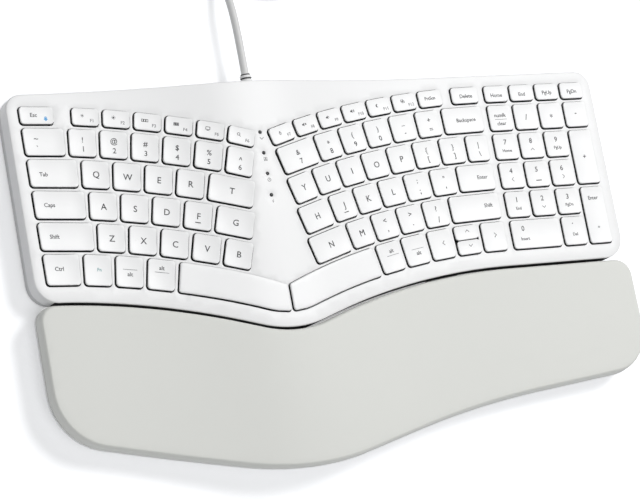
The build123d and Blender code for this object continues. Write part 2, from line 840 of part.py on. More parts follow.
# Screws: a head in its recess and a shank up into the boss
with BuildPart() as case_screws:
    head_base = tray_floor - screw_head_height - screw_clearance
    with BuildSketch(Plane.XY.offset(head_base)) as head_plan:
        with Locations(*edge_screw_places()):
            RegularPolygon(screw_head / 2, round_sides)
            RegularPolygon(screw_socket_radius, round_sides, mode=Mode.SUBTRACT)
    extrude(amount=screw_socket_depth)
    with BuildSketch(Plane.XY.offset(head_base + screw_socket_depth)) as head_top:
        with Locations(*edge_screw_places()):
            RegularPolygon(screw_head / 2, round_sides)
    extrude(amount=screw_head_height - screw_socket_depth)
    with BuildSketch(Plane.XY.offset(head_base + screw_head_height)) as shank_plan:
        with Locations(*edge_screw_places()):
            RegularPolygon(screw_shank / 2, round_sides)
    extrude(amount=screw_length - screw_head_height)
case_screws.part.label = "case_screws"
export_step(case_screws.part, "parts/case_screws.step")

# Rubber pads under the body
with BuildPart() as housing_pads:
    with BuildSketch() as pad_plan:
        with Locations(*body_pads):
            Rectangle(body_pad_size[0] - 2 * pad_fit, body_pad_size[1] - 2 * pad_fit)
    extrude(amount=pad_thickness)
housing_pads.part.label = "housing_pads"
export_step(housing_pads.part, "parts/housing_pads.step")

# Tilt feet, folded into their pockets
for name, x in foot_places.items():
    with BuildPart() as tilt_foot:
        with BuildSketch(Plane.YZ.offset(x - foot_width / 2)) as side_view:
            with Locations((foot_axis_y, foot_axis_z)):
                Circle(foot_knuckle_radius)
            with BuildLine():
                base = foot_axis_z - foot_knuckle_radius
                Polyline(
                    (foot_axis_y, base),
                    (foot_axis_y, base + foot_thickness),
                    (foot_axis_y - foot_length + foot_toe_run, base + foot_thickness),
                    (foot_axis_y - foot_length, base + foot_thickness - foot_toe_drop),
                    (foot_axis_y - foot_length, base),
                    close=True,
                )
            make_face()
        extrude(amount=foot_width)
        with BuildSketch(Plane.YZ.offset(x - foot_width / 2 - foot_pin_length)) as pin:
            with Locations((foot_axis_y, foot_axis_z)):
                Circle(foot_pin_radius)
        extrude(amount=foot_width + 2 * foot_pin_length)
        with BuildSketch(Plane.XY) as window:
            with Locations((x, foot_axis_y - foot_length / 2)):
                Rectangle(*foot_window)
        extrude(amount=deck_height, mode=Mode.SUBTRACT)
    tilt_foot.part.label = name
    export_step(tilt_foot.part, f"parts/{name}.step")


# Palm rest: a tray with tongues, and a crowned pad that lies on its rim
def palm_face(draw_in=0.0, rear_in=0.0):
    """Plan of the palm rest: its rear follows the body, its front sweeps out on the left."""
    half_palm = palm_width / 2 - draw_in
    with BuildSketch() as plan:
        with BuildLine():
            swept_line(case_front - palm_gap - rear_in, palm_gap + rear_in, -case_width)
        make_face()
        with BuildLine():
            FilletPolyline(
                (-half_palm, case_rear),
                (half_palm, case_rear),
                (half_palm, palm_right_y + draw_in),
                (palm_sweep_point[0], palm_sweep_point[1] + draw_in),
                (split_x - palm_nose_shift, palm_nose_y + draw_in),
                (-half_palm, palm_left_y + draw_in),
                radius=[
                    0,
                    0,
                    palm_right_radius - draw_in,
                    palm_sweep_radius,
                    palm_nose_radius,
                    palm_left_radius - draw_in,
                ],
                close=True,
            )
        make_face(mode=Mode.INTERSECT)
        outer = plan.vertices().group_by(Axis.X)
        rear_corners = [outer[0].sort_by(Axis.Y)[-1], outer[-1].sort_by(Axis.Y)[-1]]
        fillet(rear_corners, palm_rear_radius - draw_in / 2)
    return plan.sketch


with BuildPart() as palm_rest_base:
    draw_rate = palm_draw_in / (palm_draw_height - palm_base_bottom)
    with BuildSketch(Plane.XY.offset(palm_base_bottom)) as base_foot:
        add(palm_face(palm_draw_in, palm_rear_draw))
    with BuildSketch(Plane.XY.offset(palm_draw_height)) as base_head:
        add(palm_face())
    loft(ruled=True)
    under_deck(palm_rim_top - palm_rim_height, 0.0)
    with BuildPart(mode=Mode.PRIVATE) as rim:
        extrude(palm_face(), amount=2 * deck_height)
        deck_band(palm_rim_top, palm_rim_top - palm_rim_height)
    add(rim.part)
    with BuildPart(mode=Mode.PRIVATE) as palm_hollow:
        with BuildSketch(Plane.XY.offset(palm_base_bottom + palm_wall)) as hollow_foot:
            add(palm_face(palm_draw_in + palm_wall, palm_rear_draw + palm_wall))
        with BuildSketch(Plane.XY.offset(palm_draw_height)) as hollow_head:
            add(palm_face(palm_wall, palm_wall))
        loft(ruled=True)
    add(palm_hollow.part, mode=Mode.SUBTRACT)
    with BuildPart(mode=Mode.PRIVATE) as palm_ribs:
        with BuildSketch(Plane.XY.offset(palm_base_bottom + palm_wall / 2)) as rib_plan:
            with Locations(*[(x, palm_cross_rib) for x in palm_rib_columns]):
                Rectangle(rib_thickness, 2 * case_rear)
            with Locations((0, palm_cross_rib)):
                Rectangle(palm_width, rib_thickness)
            rib_room = palm_face(palm_draw_in + palm_wall / 2, palm_rear_draw + palm_wall / 2)
            add(rib_room, mode=Mode.INTERSECT)
        extrude(amount=2 * deck_height)
        under_deck(palm_rim_top, 0.0)
    add(palm_ribs.part)
    for x in tongue_places:
        root = front_edge(x) - palm_gap - 2 * palm_wall
        with BuildSketch(Plane.XY.offset(tongue_height - tongue_thickness / 2)) as tongue:
            with Locations((x, root)):
                Rectangle(
                    tongue_width,
                    tongue_reach + 2 * palm_wall - palm_wall / 2,
                    align=(Align.CENTER, Align.MIN),
                )
        extrude(amount=tongue_thickness)
palm_rest_base.part.label = "palm_rest_base"
export_step(palm_rest_base.part, "parts/palm_rest_base.step")

with BuildPart() as palm_rest_pad:
    for y, crown in pad_crown:
        with BuildSketch(Plane.XZ.offset(-y)) as section:
            with BuildLine():
                top_left, top_right = deck_line(crown)
                Polyline(
                    top_left,
                    (split_x - overhang, 0),
                    (split_x + overhang, 0),
                    top_right,
                )
            make_face()
    loft()
    with BuildPart(mode=Mode.PRIVATE) as pad_walls:
        with BuildSketch(Plane.XY.offset(deck_height / 2)) as pad_foot:
            add(palm_face(pad_side_inset, pad_side_inset))
        with BuildSketch(Plane.XY.offset(2 * deck_height)) as pad_head:
            add(palm_face(pad_side_inset + pad_side_lean, pad_side_inset + pad_rear_lean))
        loft(ruled=True)
    add(pad_walls.part, mode=Mode.INTERSECT)
    with BuildPart(mode=Mode.PRIVATE) as below:
        extrude(palm_face(-palm_wall, -palm_wall), amount=2 * deck_height)
        under_deck(palm_rim_top + pad_gap, 0.0)
    add(below.part, mode=Mode.SUBTRACT)
palm_rest_pad.part.label = "palm_rest_pad"
export_step(palm_rest_pad.part, "parts/palm_rest_pad.step")

with BuildPart() as palm_rest_feet:
    with BuildSketch() as pad_plan:
        with Locations(*palm_pads):
            SlotOverall(*palm_pad_size)
    extrude(amount=palm_base_bottom)
palm_rest_feet.part.label = "palm_rest_feet"
export_step(palm_rest_feet.part, "parts/palm_rest_feet.step")

# Strain relief: a flange inside, a neck in the wall and a ringed sleeve outside
with BuildPart() as strain_relief:
    with BuildSketch(Plane.YZ.offset(relief_x)) as half_section:
        with BuildLine():
            outline = [
                (-case_wall - layer_gap - relief_flange_thickness, 0),
                (-case_wall - layer_gap - relief_flange_thickness, relief_flange),
                (-case_wall - layer_gap, relief_flange),
                (-case_wall - layer_gap, relief_neck),
                (layer_gap, relief_neck),
                (layer_gap, relief_radius),
            ]
            ring_rows = int(relief_length / relief_ring_pitch) - 1
            taper_rate = (relief_radius - relief_end_radius) / relief_length
            for ring in range(ring_rows):
                start = layer_gap + (ring + 0.5) * relief_ring_pitch
                radius = relief_radius - taper_rate * start
                outline += [
                    (start, radius),
                    (start, radius - relief_groove),
                    (start + relief_ring_pitch / 2, radius - relief_groove),
                    (start + relief_ring_pitch / 2, radius),
                ]
            outline += [(relief_length, relief_end_radius), (relief_length, 0)]
            Polyline(*[(case_rear + y, relief_z + r) for y, r in outline], close=True)
        make_face()
    revolve(axis=Axis((relief_x, 0, relief_z), (0, 1, 0)))
strain_relief.part.label = "strain_relief"
export_step(strain_relief.part, "parts/strain_relief.step")

# Cable: its free points are chosen by hand, its coil is half turns that close in and open out
lead_points = [
    (-42.6, 127.4, 14.5),
    (-42.6, 142.0, 14.5),
    (-42.7, 157.0, 14.2),
    (-43.0, 171.0, 12.9),
    (-43.3, 184.0, 8.5),
    (-43.2, 197.0, 3.6),
    (-43.0, 206.5, 2.35),
    (-43.0, 213.3, 2.35),
]
tail_points = [
    (-43.0, 222.7, 7.15),
    (-43.0, 231.5, 7.15),
    (-43.0, 242.0, 4.2),
    (-43.0, 251.0, 4.2),
]


def bend_radii(points):
    """Radius of the arc at each inner point, as large as its two runs allow."""
    radii = []
    places = [Vector(*point) for point in points]
    for before, here, after in zip(places, places[1:], places[2:]):
        run_in = here - before
        run_out = after - here
        turn = radians(run_in.get_angle(run_out))
        radii.append(0.45 * min(run_in.length, run_out.length) / tan(turn / 2))
    return radii


def tube_along(points):
    """A round tube of straight runs joined by arcs."""
    radii = bend_radii(points)
    with BuildLine() as route:
        FilletPolyline(*points, radius=radii)
    wire = route.wires()[0]
    with BuildSketch(Plane(points[0], z_dir=wire % 0)) as section:
        RegularPolygon(cable_diameter / 2, round_sides)
    sweep(section.sketch, path=wire)
    print("run radii", [round(radius, 1) for radius in radii], "length", round(wire.length, 1))
    return section.sketch.area * wire.length


def least_gap(wire, width, apart):
    """Least gap between stretches of a tube that are some way apart along it."""
    step = width / 2
    count = int(wire.length / step)
    points = [wire @ (n / count) for n in range(count + 1)]
    skip = int(apart / step)
    return min((a - b).length for n, a in enumerate(points) for b in points[n + skip :]) - width


with BuildPart() as cable:
    tube_volume = tube_along(lead_points) + tube_along(tail_points)
print("cable volume", round(cable.part.volume, 1), "section times length", round(tube_volume, 1))
cable.part.label = "cable"
export_step(cable.part, "parts/cable.step")

with BuildPart() as cable_coil:
    low_z = lead_points[-1][2]
    with BuildLine() as turns:
        level = low_z
        edge_x = coil_centre_x - coil_outer_radius
        lead_in = Line(
            (edge_x, coil_centre_y - cable_diameter, level), (edge_x, coil_centre_y, level)
        )
        end = lead_in @ 1
        heading = 1
        half_turns = [coil_outer_radius - n * coil_pitch / 2 for n in range(coil_turns)]
        for radius in half_turns[:-1]:
            arc = JernArc(end, (0, heading), radius, -180)
            end = arc @ 1
            heading = -heading
        climb_radius = half_turns[-1]
        bulge = sqrt(climb_radius**2 + (coil_layer / 2) ** 2)
        middle = Vector(
            end.X + heading * climb_radius, coil_centre_y + heading * bulge, level + coil_layer / 2
        )
        first = TangentArc(end, middle, tangent=(0, heading, 0))
        top_end = Vector(end.X + 2 * heading * climb_radius, coil_centre_y, level + coil_layer)
        second = TangentArc(middle, top_end, tangent=first % 1)
        end = second @ 1
        heading = -heading
        for radius in half_turns[::-1]:
            arc = JernArc(end, (0, heading), radius + coil_pitch / 2, -180)
            end = arc @ 1
            heading = -heading
        Line(end, end + Vector(0, cable_diameter * heading, 0))
    wire = turns.wires()[0]
    with BuildSketch(Plane(lead_in @ 0, x_dir=(1, 0, 0), z_dir=(0, 1, 0))) as wire_section:
        Rectangle(coil_section, coil_section)
    sweep(path=wire)
print("coil length", round(wire.length, 1), "volume", round(cable_coil.part.volume, 1))
print("least gap in the coil", round(least_gap(wire, coil_section, climb_radius * pi), 2))
cable_coil.part.label = "cable_coil"
export_step(cable_coil.part, "parts/cable_coil.step")

# Plug: an overmoulded body and a metal shell, lying behind the coil
plug_start = Vector(*tail_points[-1])
with BuildPart() as usb_plug_body:
    with BuildSketch(Plane(plug_start, x_dir=(1, 0, 0), z_dir=(0, 1, 0))) as body_section:
        RectangleRounded(plug_body[0], plug_body[2], plug_corner_radius)
    extrude(amount=plug_body[1])
usb_plug_body.part.label = "usb_plug_body"
export_step(usb_plug_body.part, "parts/usb_plug_body.step")

with BuildPart() as usb_plug_shell:
    shell_start = plug_start + Vector(0, plug_body[1], 0)
    with BuildSketch(Plane(shell_start, x_dir=(1, 0, 0), z_dir=(0, 1, 0))) as shell_section:
        Rectangle(plug_shell[0], plug_shell[2])
    extrude(amount=plug_shell[1])
    with BuildSketch(Plane(shell_start, x_dir=(1, 0, 0), z_dir=(0, 1, 0))) as mouth:
        Rectangle(plug_shell[0] - 2 * shell_wall, plug_shell[2] - 2 * shell_wall)
    extrude(amount=plug_shell[1], mode=Mode.SUBTRACT)
    with BuildSketch(Plane(shell_start, x_dir=(1, 0, 0), z_dir=(0, 1, 0))) as tongue_section:
        with Locations((0, -plug_shell[2] / 4)):
            Rectangle(plug_shell[0] - plug_tongue_fit * 2, plug_shell[2] / 2 - plug_tongue_fit * 2)
    extrude(amount=plug_shell[1] - plug_tongue_short)
usb_plug_shell.part.label = "usb_plug_shell"
export_step(usb_plug_shell.part, "parts/usb_plug_shell.step")
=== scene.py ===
# %% [markdown]
# # An ergonomic keyboard, dressed for its portrait
#
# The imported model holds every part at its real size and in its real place. This file adds what a
# camera sees: moulded caps with printed letters, a domed white deck, a padded palm rest, a cable
# that lies on the floor, and a soft studio round it all. Sizes are written in millimetres and
# multiplied by `mm`, because Blender works in metres.

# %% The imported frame
from math import asin, atan2, ceil, cos, hypot, pi, radians, sin, sqrt, tan

import bmesh
import bpy
from mathutils import Matrix, Vector
from mathutils.geometry import delaunay_2d_cdt
from mathutils.kdtree import KDTree


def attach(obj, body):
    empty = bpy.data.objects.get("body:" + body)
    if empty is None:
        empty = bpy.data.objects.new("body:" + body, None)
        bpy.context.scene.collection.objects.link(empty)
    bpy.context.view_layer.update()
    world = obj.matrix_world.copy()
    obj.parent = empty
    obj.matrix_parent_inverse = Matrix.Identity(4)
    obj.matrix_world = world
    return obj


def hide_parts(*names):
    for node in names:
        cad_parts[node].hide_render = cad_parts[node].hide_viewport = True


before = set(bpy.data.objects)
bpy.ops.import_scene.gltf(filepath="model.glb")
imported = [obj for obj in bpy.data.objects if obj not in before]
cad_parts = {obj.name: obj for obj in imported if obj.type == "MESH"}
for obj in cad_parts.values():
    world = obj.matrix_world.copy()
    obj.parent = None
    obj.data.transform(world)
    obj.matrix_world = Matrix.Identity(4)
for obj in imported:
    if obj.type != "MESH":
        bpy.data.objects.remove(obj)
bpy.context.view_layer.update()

mm = 0.001
square = ((-1, -1), (1, -1), (1, 1), (-1, 1))
scene = bpy.context.scene


def in_metres(points):
    """Points given in millimetres, as plain tuples in metres."""
    return [tuple(value * mm for value in point) for point in points]


def linked(name, data):
    """A new object of the scene, made from a mesh, a curve, a lamp or a camera."""
    made = bpy.data.objects.new(name, data)
    scene.collection.objects.link(made)
    return made


# %% [markdown]
# ## The camera
#
# The photograph was taken from high up on the left with a long lens, and the camera was rolled.
# A camera can be given by the place where it stands, the point it looks at, its roll about that
# line and its focal length. That is easier to read than a rotation matrix, so it is used here.

# %% Camera
photo_width = 640
focal_length_in_pixels = 2789.7
sensor_width = 36.0
camera_place = Vector((-823.21, -311.32, 1441.3)) * mm
camera_aim = Vector((-15.82, 12.44, 18.0)) * mm
camera_roll = radians(-60.568)

camera_data = bpy.data.cameras.new("portrait_camera")
camera_data.sensor_width = sensor_width
camera_data.lens = focal_length_in_pixels / photo_width * sensor_width
camera = linked("portrait_camera", camera_data)
scene.camera = camera
forward = (camera_aim - camera_place).normalized()
level_right = forward.cross(Vector((0, 0, 1))).normalized()
level_up = level_right.cross(forward)
camera_up = level_up * cos(camera_roll) + level_right * sin(camera_roll)
camera_right = forward.cross(camera_up)
camera.matrix_world = Matrix.Translation(camera_place) @ Matrix(
    (camera_right, camera_up, -forward)
).transposed().to_4x4()
camera_data.clip_start = 0.05
camera_data.clip_end = 20.0
print("lens", round(camera_data.lens, 1), "mm")

# %% [markdown]
# ## The cable
#
# The lead leaves the strain relief at the rear edge, sinks to the table and runs out of the
# picture. What the picture doesn't show is put away as a round coil of two layers, behind the
# view, with the plug beyond it. One smooth NURBS spline follows listed points along the free
# runs, and the coil is a rule: half turns whose radius shrinks and then grows again.

# %% The cable's route
cable_diameter = 4.7 * mm
lead_points = [
    (-42.6, 127.4, 14.5),
    (-42.6, 142.0, 14.5),
    (-42.7, 157.0, 14.2),
    (-43.0, 171.0, 12.9),
    (-43.3, 184.0, 8.5),
    (-43.2, 197.0, 3.6),
    (-43.0, 206.5, 2.35),
    (-43.0, 213.3, 2.35),
]
tail_points = [
    (-43.0, 222.7, 7.15),
    (-43.0, 231.5, 7.15),
    (-43.0, 242.0, 4.2),
    (-43.0, 251.0, 4.2),
]
coil_middle_y = 218.0
coil_low = 2.35
coil_layer = 4.8
coil_half_turns = 8
coil_outer_radius = 35.5
coil_shrink = 2.6
points_per_half_turn = 8


def coil_points():
    """Points round the coil: inwards on the floor, up one layer, and outwards again."""
    radii = [coil_outer_radius - n * coil_shrink for n in range(coil_half_turns)]
    wider = [radius + coil_shrink for radius in radii]
    side_x = lead_points[-1][0]
    heading = 1
    points = []
    for turn, radius in enumerate(radii + wider[::-1]):
        reach = radius / cos(pi / points_per_half_turn / 2)
        middle_x = side_x + heading * radius
        for step in range(points_per_half_turn):
            share = (step + 0.5) / points_per_half_turn
            climb = min(max(turn - coil_half_turns + 1 + share, 0), 1)
            points.append(
                (
                    middle_x - heading * reach * cos(pi * share),
                    coil_middle_y + heading * reach * sin(pi * share),
                    coil_low + coil_layer * climb,
                )
            )
        side_x = middle_x + heading * radius
        heading = -heading
    return points


route = lead_points + coil_points() + tail_points
cable_curve = bpy.data.curves.new("cable_lead", "CURVE")
cable_curve.dimensions = "3D"
cable_spline = cable_curve.splines.new("NURBS")
cable_spline.points.add(len(route) - 1)
for spline_point, place in zip(cable_spline.points, in_metres(route)):
    spline_point.co = (*place, 1.0)
cable_spline.order_u = 3
cable_spline.use_endpoint_u = True
cable_spline.resolution_u = 6
cable_curve.bevel_depth = cable_diameter / 2
cable_curve.bevel_resolution = 5
cable_curve.use_fill_caps = True
cable = linked("cable_lead", cable_curve)
print("cable points", len(route))

# %% [markdown]
# ## Nodes written as Python
#
# Materials and Geometry Nodes are both graphs. `Recipe` adds nodes to a graph, and `Signal` wraps
# one output so that ordinary arithmetic adds Math nodes. A formula then reads like a formula.


# %% Recipe and Signal
class Signal:
    """One output of a node, which Python's operators can work with."""

    def __init__(self, recipe, socket):
        self.recipe = recipe
        self.socket = socket

    def maths(self, operation, first, second=0.0):
        return self.recipe.add("ShaderNodeMath", {"operation": operation}, {0: first, 1: second})


def maths_method(operation, swapped=False):
    """A method that adds one Math node to the graph of a signal."""

    def method(signal, other=0.0):
        return signal.maths(operation, *((other, signal) if swapped else (signal, other)))

    return method


for symbol, operation in (("add", "ADD"), ("sub", "SUBTRACT"), ("mul", "MULTIPLY")):
    setattr(Signal, f"__{symbol}__", maths_method(operation))
    setattr(Signal, f"__r{symbol}__", maths_method(operation, swapped=True))
Signal.__truediv__ = maths_method("DIVIDE")
Signal.__lt__ = maths_method("LESS_THAN")
Signal.__gt__ = maths_method("GREATER_THAN")
Signal.__abs__ = maths_method("ABSOLUTE")
Signal.sine = maths_method("SINE")
Signal.cosine = maths_method("COSINE")
Signal.root = maths_method("SQRT")


class Recipe:
    """A node graph that is being written."""

    def __init__(self, tree):
        self.tree = tree
        tree.nodes.clear()

    def node(self, kind, settings=None, inputs=None):
        made = self.tree.nodes.new(kind)
        for name, value in (settings or {}).items():
            setattr(made, name, value)
        for name, value in (inputs or {}).items():
            if isinstance(value, Signal):
                self.tree.links.new(value.socket, made.inputs[name])
            else:
                made.inputs[name].default_value = value
        return made

    def add(self, kind, settings=None, inputs=None, output=0):
        return Signal(self, self.node(kind, settings, inputs).outputs[output])


def new_material(name):
    """An empty material and the recipe for its nodes."""
    material = bpy.data.materials.new(name)
    material.use_nodes = True
    return material, Recipe(material.node_tree)


# %% [markdown]
# ## Finishes
#
# Moulded plastic is never a flat colour. A spark-eroded mould leaves a fine grain, and colour and
# gloss drift a little from place to place. One helper mixes all of that, so each plastic, rubber
# and metal here only differs in its numbers.


# %% Moulded plastic, rubber and metal
colour_drift = 0.02
drift_scale = 35.0
grain_strength = 0.6
slow_gloss = 0.08
fine_gloss = 0.04


def moulded(name, colour, roughness, grain=0.30, grain_height=0.006, metallic=0.0, specular=0.5):
    """A moulded surface: fine grain as bump, and slow drifts of colour and gloss."""
    material, recipe = new_material(name)
    place = recipe.add("ShaderNodeTexCoord", output="Object")
    slow = recipe.add(
        "ShaderNodeTexNoise",
        inputs={"Vector": place, "Scale": drift_scale, "Detail": 3.0, "Roughness": 0.6},
    )
    fine = recipe.add(
        "ShaderNodeTexNoise",
        inputs={"Vector": place, "Scale": 1.0 / (grain * mm), "Detail": 2.0, "Roughness": 0.5},
    )
    darker = [value * (1 - colour_drift) for value in colour]
    lighter = [min(value * (1 + colour_drift), 1.0) for value in colour]
    shade = recipe.add(
        "ShaderNodeMix",
        {"data_type": "RGBA"},
        {"Factor": slow, 6: (*darker, 1.0), 7: (*lighter, 1.0)},
        output=2,
    )
    mean_gloss = roughness - (slow_gloss + fine_gloss) / 2
    gloss = mean_gloss + slow * slow_gloss + fine * fine_gloss
    relief = recipe.add(
        "ShaderNodeBump",
        inputs={"Strength": grain_strength, "Distance": grain_height * mm, "Height": fine},
        output="Normal",
    )
    surface = recipe.node(
        "ShaderNodeBsdfPrincipled",
        inputs={
            "Base Color": shade,
            "Roughness": gloss,
            "Metallic": metallic,
            "Specular IOR Level": specular,
            "Normal": relief,
        },
    )
    recipe.node("ShaderNodeOutputMaterial", inputs={"Surface": Signal(recipe, surface.outputs[0])})
    return material


# %% The finishes of this keyboard
cap_white = moulded("cap_white", (0.90, 0.90, 0.90), 0.42, grain=0.25)
deck_white = moulded("deck_white", (0.83, 0.83, 0.83), 0.42, grain=0.30)
# painted shade: the tray is white plastic like the deck, given a grey that stands in for the shade on its
# side walls
tray_painted_shade = moulded("tray_white_painted_shade", (0.62, 0.62, 0.62), 0.50, grain=0.5, grain_height=0.012)
rim_white = moulded("rim_white", (0.84, 0.84, 0.83), 0.45)
pad_skin = moulded("pad_skin", (0.72, 0.725, 0.69), 0.62, grain=0.7, grain_height=0.02)
relief_grey = moulded("relief_rubber", (0.82, 0.82, 0.82), 0.55)
# painted shade: near-black for the walls and floors of the relief's grooves, in place of the shade inside
# them
groove_painted_shade = moulded("relief_groove_painted_shade", (0.10, 0.10, 0.10), 0.7, specular=0.2)
jacket_grey = moulded("cable_jacket", (0.66, 0.66, 0.655), 0.45, grain=0.4, grain_height=0.01)
plug_grey = moulded("plug_rubber", (0.46, 0.46, 0.47), 0.5)
foot_rubber = moulded("foot_rubber", (0.10, 0.10, 0.11), 0.75, grain=0.6, grain_height=0.03)
dome_silicone = moulded("dome_silicone", (0.62, 0.64, 0.66), 0.45)
film_print = moulded("printed_film", (0.55, 0.60, 0.58), 0.25)
plate_steel = moulded("plate_steel", (0.55, 0.56, 0.57), 0.32, metallic=1.0, grain=0.8)
screw_steel = moulded("screw_steel", (0.35, 0.35, 0.36), 0.28, metallic=1.0)
board_green = moulded("board_lacquer", (0.03, 0.16, 0.07), 0.35)
lens_dark = moulded("light_lens", (0.006, 0.006, 0.007), 0.35, specular=0.3)
shell_metal = moulded("plug_nickel", (0.72, 0.72, 0.70), 0.22, metallic=1.0)
# painted shade: near-black for the lower cap skirts, the lowest well walls and the seam wall, in place of
# the shade there
painted_gap_shade = moulded("painted_gap_shade", (0.035, 0.035, 0.037), 0.8, specular=0.1)
ink_dark = moulded("legend_ink", (0.03, 0.03, 0.034), 0.55)
ink_light = moulded("legend_ink_light", (0.24, 0.24, 0.25), 0.55)
ink_tint = moulded("legend_tint", (0.22, 0.42, 0.44), 0.55)
ink_blue = moulded("legend_blue", (0.10, 0.38, 0.72), 0.55)

# %% [markdown]
# ## The studio
#
# The photograph has a white ground with soft bluish shadows. The lamps are kept at a level where
# a colour renders about as it is written. The ground reaches white by a little light of its own
# that only the camera sees, so the shadow on it stays and the keyboard isn't lit by it.

# %% Floor, lamps and world
half_floor = 2.0
floor_glow = 0.36
room_light = 0.26
floor_mesh = bpy.data.meshes.new("studio_floor")
floor_mesh.from_pydata(
    [(x * half_floor, y * half_floor, 0) for x, y in square], [], [(0, 1, 2, 3)]
)
floor = linked("studio_floor", floor_mesh)


def seen_directly(recipe):
    """One for a ray that the camera sees, straight or by way of a shiny or clear thing, else nought."""
    rays = recipe.node("ShaderNodeLightPath")
    seen = [Signal(recipe, rays.outputs[name])
            for name in ("Is Camera Ray", "Is Glossy Ray", "Is Transmission Ray")]
    return seen[0] + seen[1] + seen[2] > 0.5


def floor_finish():
    """White paper: it takes the shadow, and the camera sees it a little brighter than it is."""
    material, recipe = new_material("studio_paper")
    shown = seen_directly(recipe) * floor_glow
    paper = recipe.add("ShaderNodeBsdfDiffuse", inputs={"Color": (0.88, 0.89, 0.91, 1.0)})
    glow = recipe.add(
        "ShaderNodeEmission", inputs={"Color": (1.0, 1.0, 1.0, 1.0), "Strength": shown}
    )
    both = recipe.add("ShaderNodeAddShader", inputs={0: paper, 1: glow})
    recipe.node("ShaderNodeOutputMaterial", inputs={"Surface": both})
    return material


floor_mesh.materials.append(floor_finish())


def world_finish():
    """A pale room that lights the shadows, and plain white where the camera looks past the floor."""
    world = bpy.data.worlds.new("studio_room")
    world.use_nodes = True
    recipe = Recipe(world.node_tree)
    strength = room_light + seen_directly(recipe) * (1 - room_light)
    room = recipe.add(
        "ShaderNodeBackground", inputs={"Color": (0.97, 0.985, 1.0, 1.0), "Strength": strength}
    )
    recipe.node("ShaderNodeOutputWorld", inputs={"Surface": room})
    scene.world = world


world_finish()


def area_lamp(name, place, size, power):
    """A soft box: a square lamp that looks at the middle of the frame."""
    data = bpy.data.lights.new(name, "AREA")
    data.size = size
    data.energy = power
    lamp = linked(name, data)
    lamp.location = place
    lamp.rotation_euler = (-Vector(place)).to_track_quat("-Z", "Y").to_euler()


area_lamp("rear_right_softbox", (1.05, 0.75, 1.9), 0.8, 30.5)
area_lamp("front_softbox", (-0.5, -0.8, 2.1), 1.4, 12.5)
scene.view_settings.view_transform = "Standard"

# %% [markdown]
# ## Where the keys are
#
# On each side of the split the rows are arcs about one common centre, so a key's place is a
# distance along an arc. The deck under them is flat, then a hollow curve, a ramp and a crest. The
# same few sizes give every cap, every well and every letter its place.

# %% Sizes of the deck and the rows
deck_height = 18.0
split_x = -47.0
dome_height = 9.93
crest_radius = 200.0
foot_radius = 560.0
dome_slope = radians(8.07)
crest_reach = crest_radius * sin(dome_slope)
crest_drop = crest_radius * (1 - cos(dome_slope))
foot_reach = foot_radius * sin(dome_slope)
foot_rise = foot_radius * (1 - cos(dome_slope))
ramp_reach = (dome_height - crest_drop - foot_rise) / tan(dome_slope)
dome_reach = crest_reach + ramp_reach + foot_reach

key_pitch = 19.05
key_width = 16.4
key_gap = key_pitch - key_width
half_key_gap = 0.6
arc_centre_y = -415.8
apex_reach = 161.65
left_key_edge = -194.6
right_key_edge = 115.6
numpad_left = 121.0
key_rows = {
    "function": (99.2, 10.2),
    "number": (80.4, 16.2),
    "upper": (61.6, 16.2),
    "home": (42.8, 16.2),
    "lower": (24.0, 16.2),
    "space": (3.6, 18.0),
}


def deck_rise(x):
    """Height of the deck over its flat part, in millimetres."""
    reach = abs(x - split_x)
    if reach < crest_reach:
        return dome_height - crest_radius + sqrt(crest_radius**2 - reach**2)
    if reach < crest_reach + ramp_reach:
        return dome_height - crest_drop - (reach - crest_reach) * tan(dome_slope)
    if reach < dome_reach:
        return foot_radius - sqrt(foot_radius**2 - (dome_reach - reach) ** 2)
    return 0.0


def deck_angle(x):
    """Slope of the deck in radians, rising towards +x where it is positive."""
    reach = abs(x - split_x)
    side = 1 if x < split_x else -1
    if reach < crest_reach:
        return side * asin(reach / crest_radius)
    if reach < crest_reach + ramp_reach:
        return side * dome_slope
    if reach < dome_reach:
        return side * asin((dome_reach - reach) / foot_radius)
    return 0.0


# %% Corners of each kind of cap, from the front left corner and anticlockwise
def row_frame(side, row, along):
    """Point on a row's front arc, the way to the right and the way to the rear."""
    radius = key_rows[row][0] - arc_centre_y
    angle = along / radius
    point = Vector(
        (
            split_x + side * (apex_reach - radius * sin(angle)),
            arc_centre_y + radius * cos(angle),
        )
    )
    return point, Vector((cos(angle), side * sin(angle))), Vector((-side * sin(angle), cos(angle)))


def row_key(side, row, start, width):
    """A cap that starts at a place along its row's arc."""
    point, right, back = row_frame(side, row, start + width / 2)
    depth = key_rows[row][1]
    near_left = point - right * (width / 2)
    near_right = point + right * (width / 2)
    return [near_left, near_right, near_right + back * depth, near_left + back * depth]


def edge_key(side, row, end):
    """A cap between a block's straight outer side and a place on its row."""
    outer_x = left_key_edge if side < 0 else right_key_edge
    outer = apex_reach - side * (outer_x - split_x)
    point, right, back = row_frame(side, row, (outer + end) / 2)
    depth = key_rows[row][1]
    inner_front = point - side * right * ((end - outer) / 2)
    inner_rear = inner_front + back * depth
    rear = point + back * depth
    outer_front = point + right * ((outer_x - point.x) / right.x)
    outer_rear = rear + right * ((outer_x - rear.x) / right.x)
    if side < 0:
        return [outer_front, inner_front, inner_rear, outer_rear]
    return [inner_front, outer_front, outer_rear, inner_rear]


def numpad_key(column, row, columns=1, last_row=None):
    """A cap of the straight block, over one or more columns and rows."""
    left = numpad_left + column * key_pitch
    right = left + key_width + (columns - 1) * key_pitch
    front = key_rows[row][0]
    rear = sum(key_rows[last_row or row])
    return [Vector(corner) for corner in ((left, front), (right, front), (right, rear), (left, rear))]


def left_keys(row, start, count, last_width):
    """Caps side by side on a left row, the last of them with a width of its own."""
    widths = [key_width] * (count - 1) + [last_width]
    return [row_key(-1, row, start + n * key_pitch, width) for n, width in enumerate(widths)]


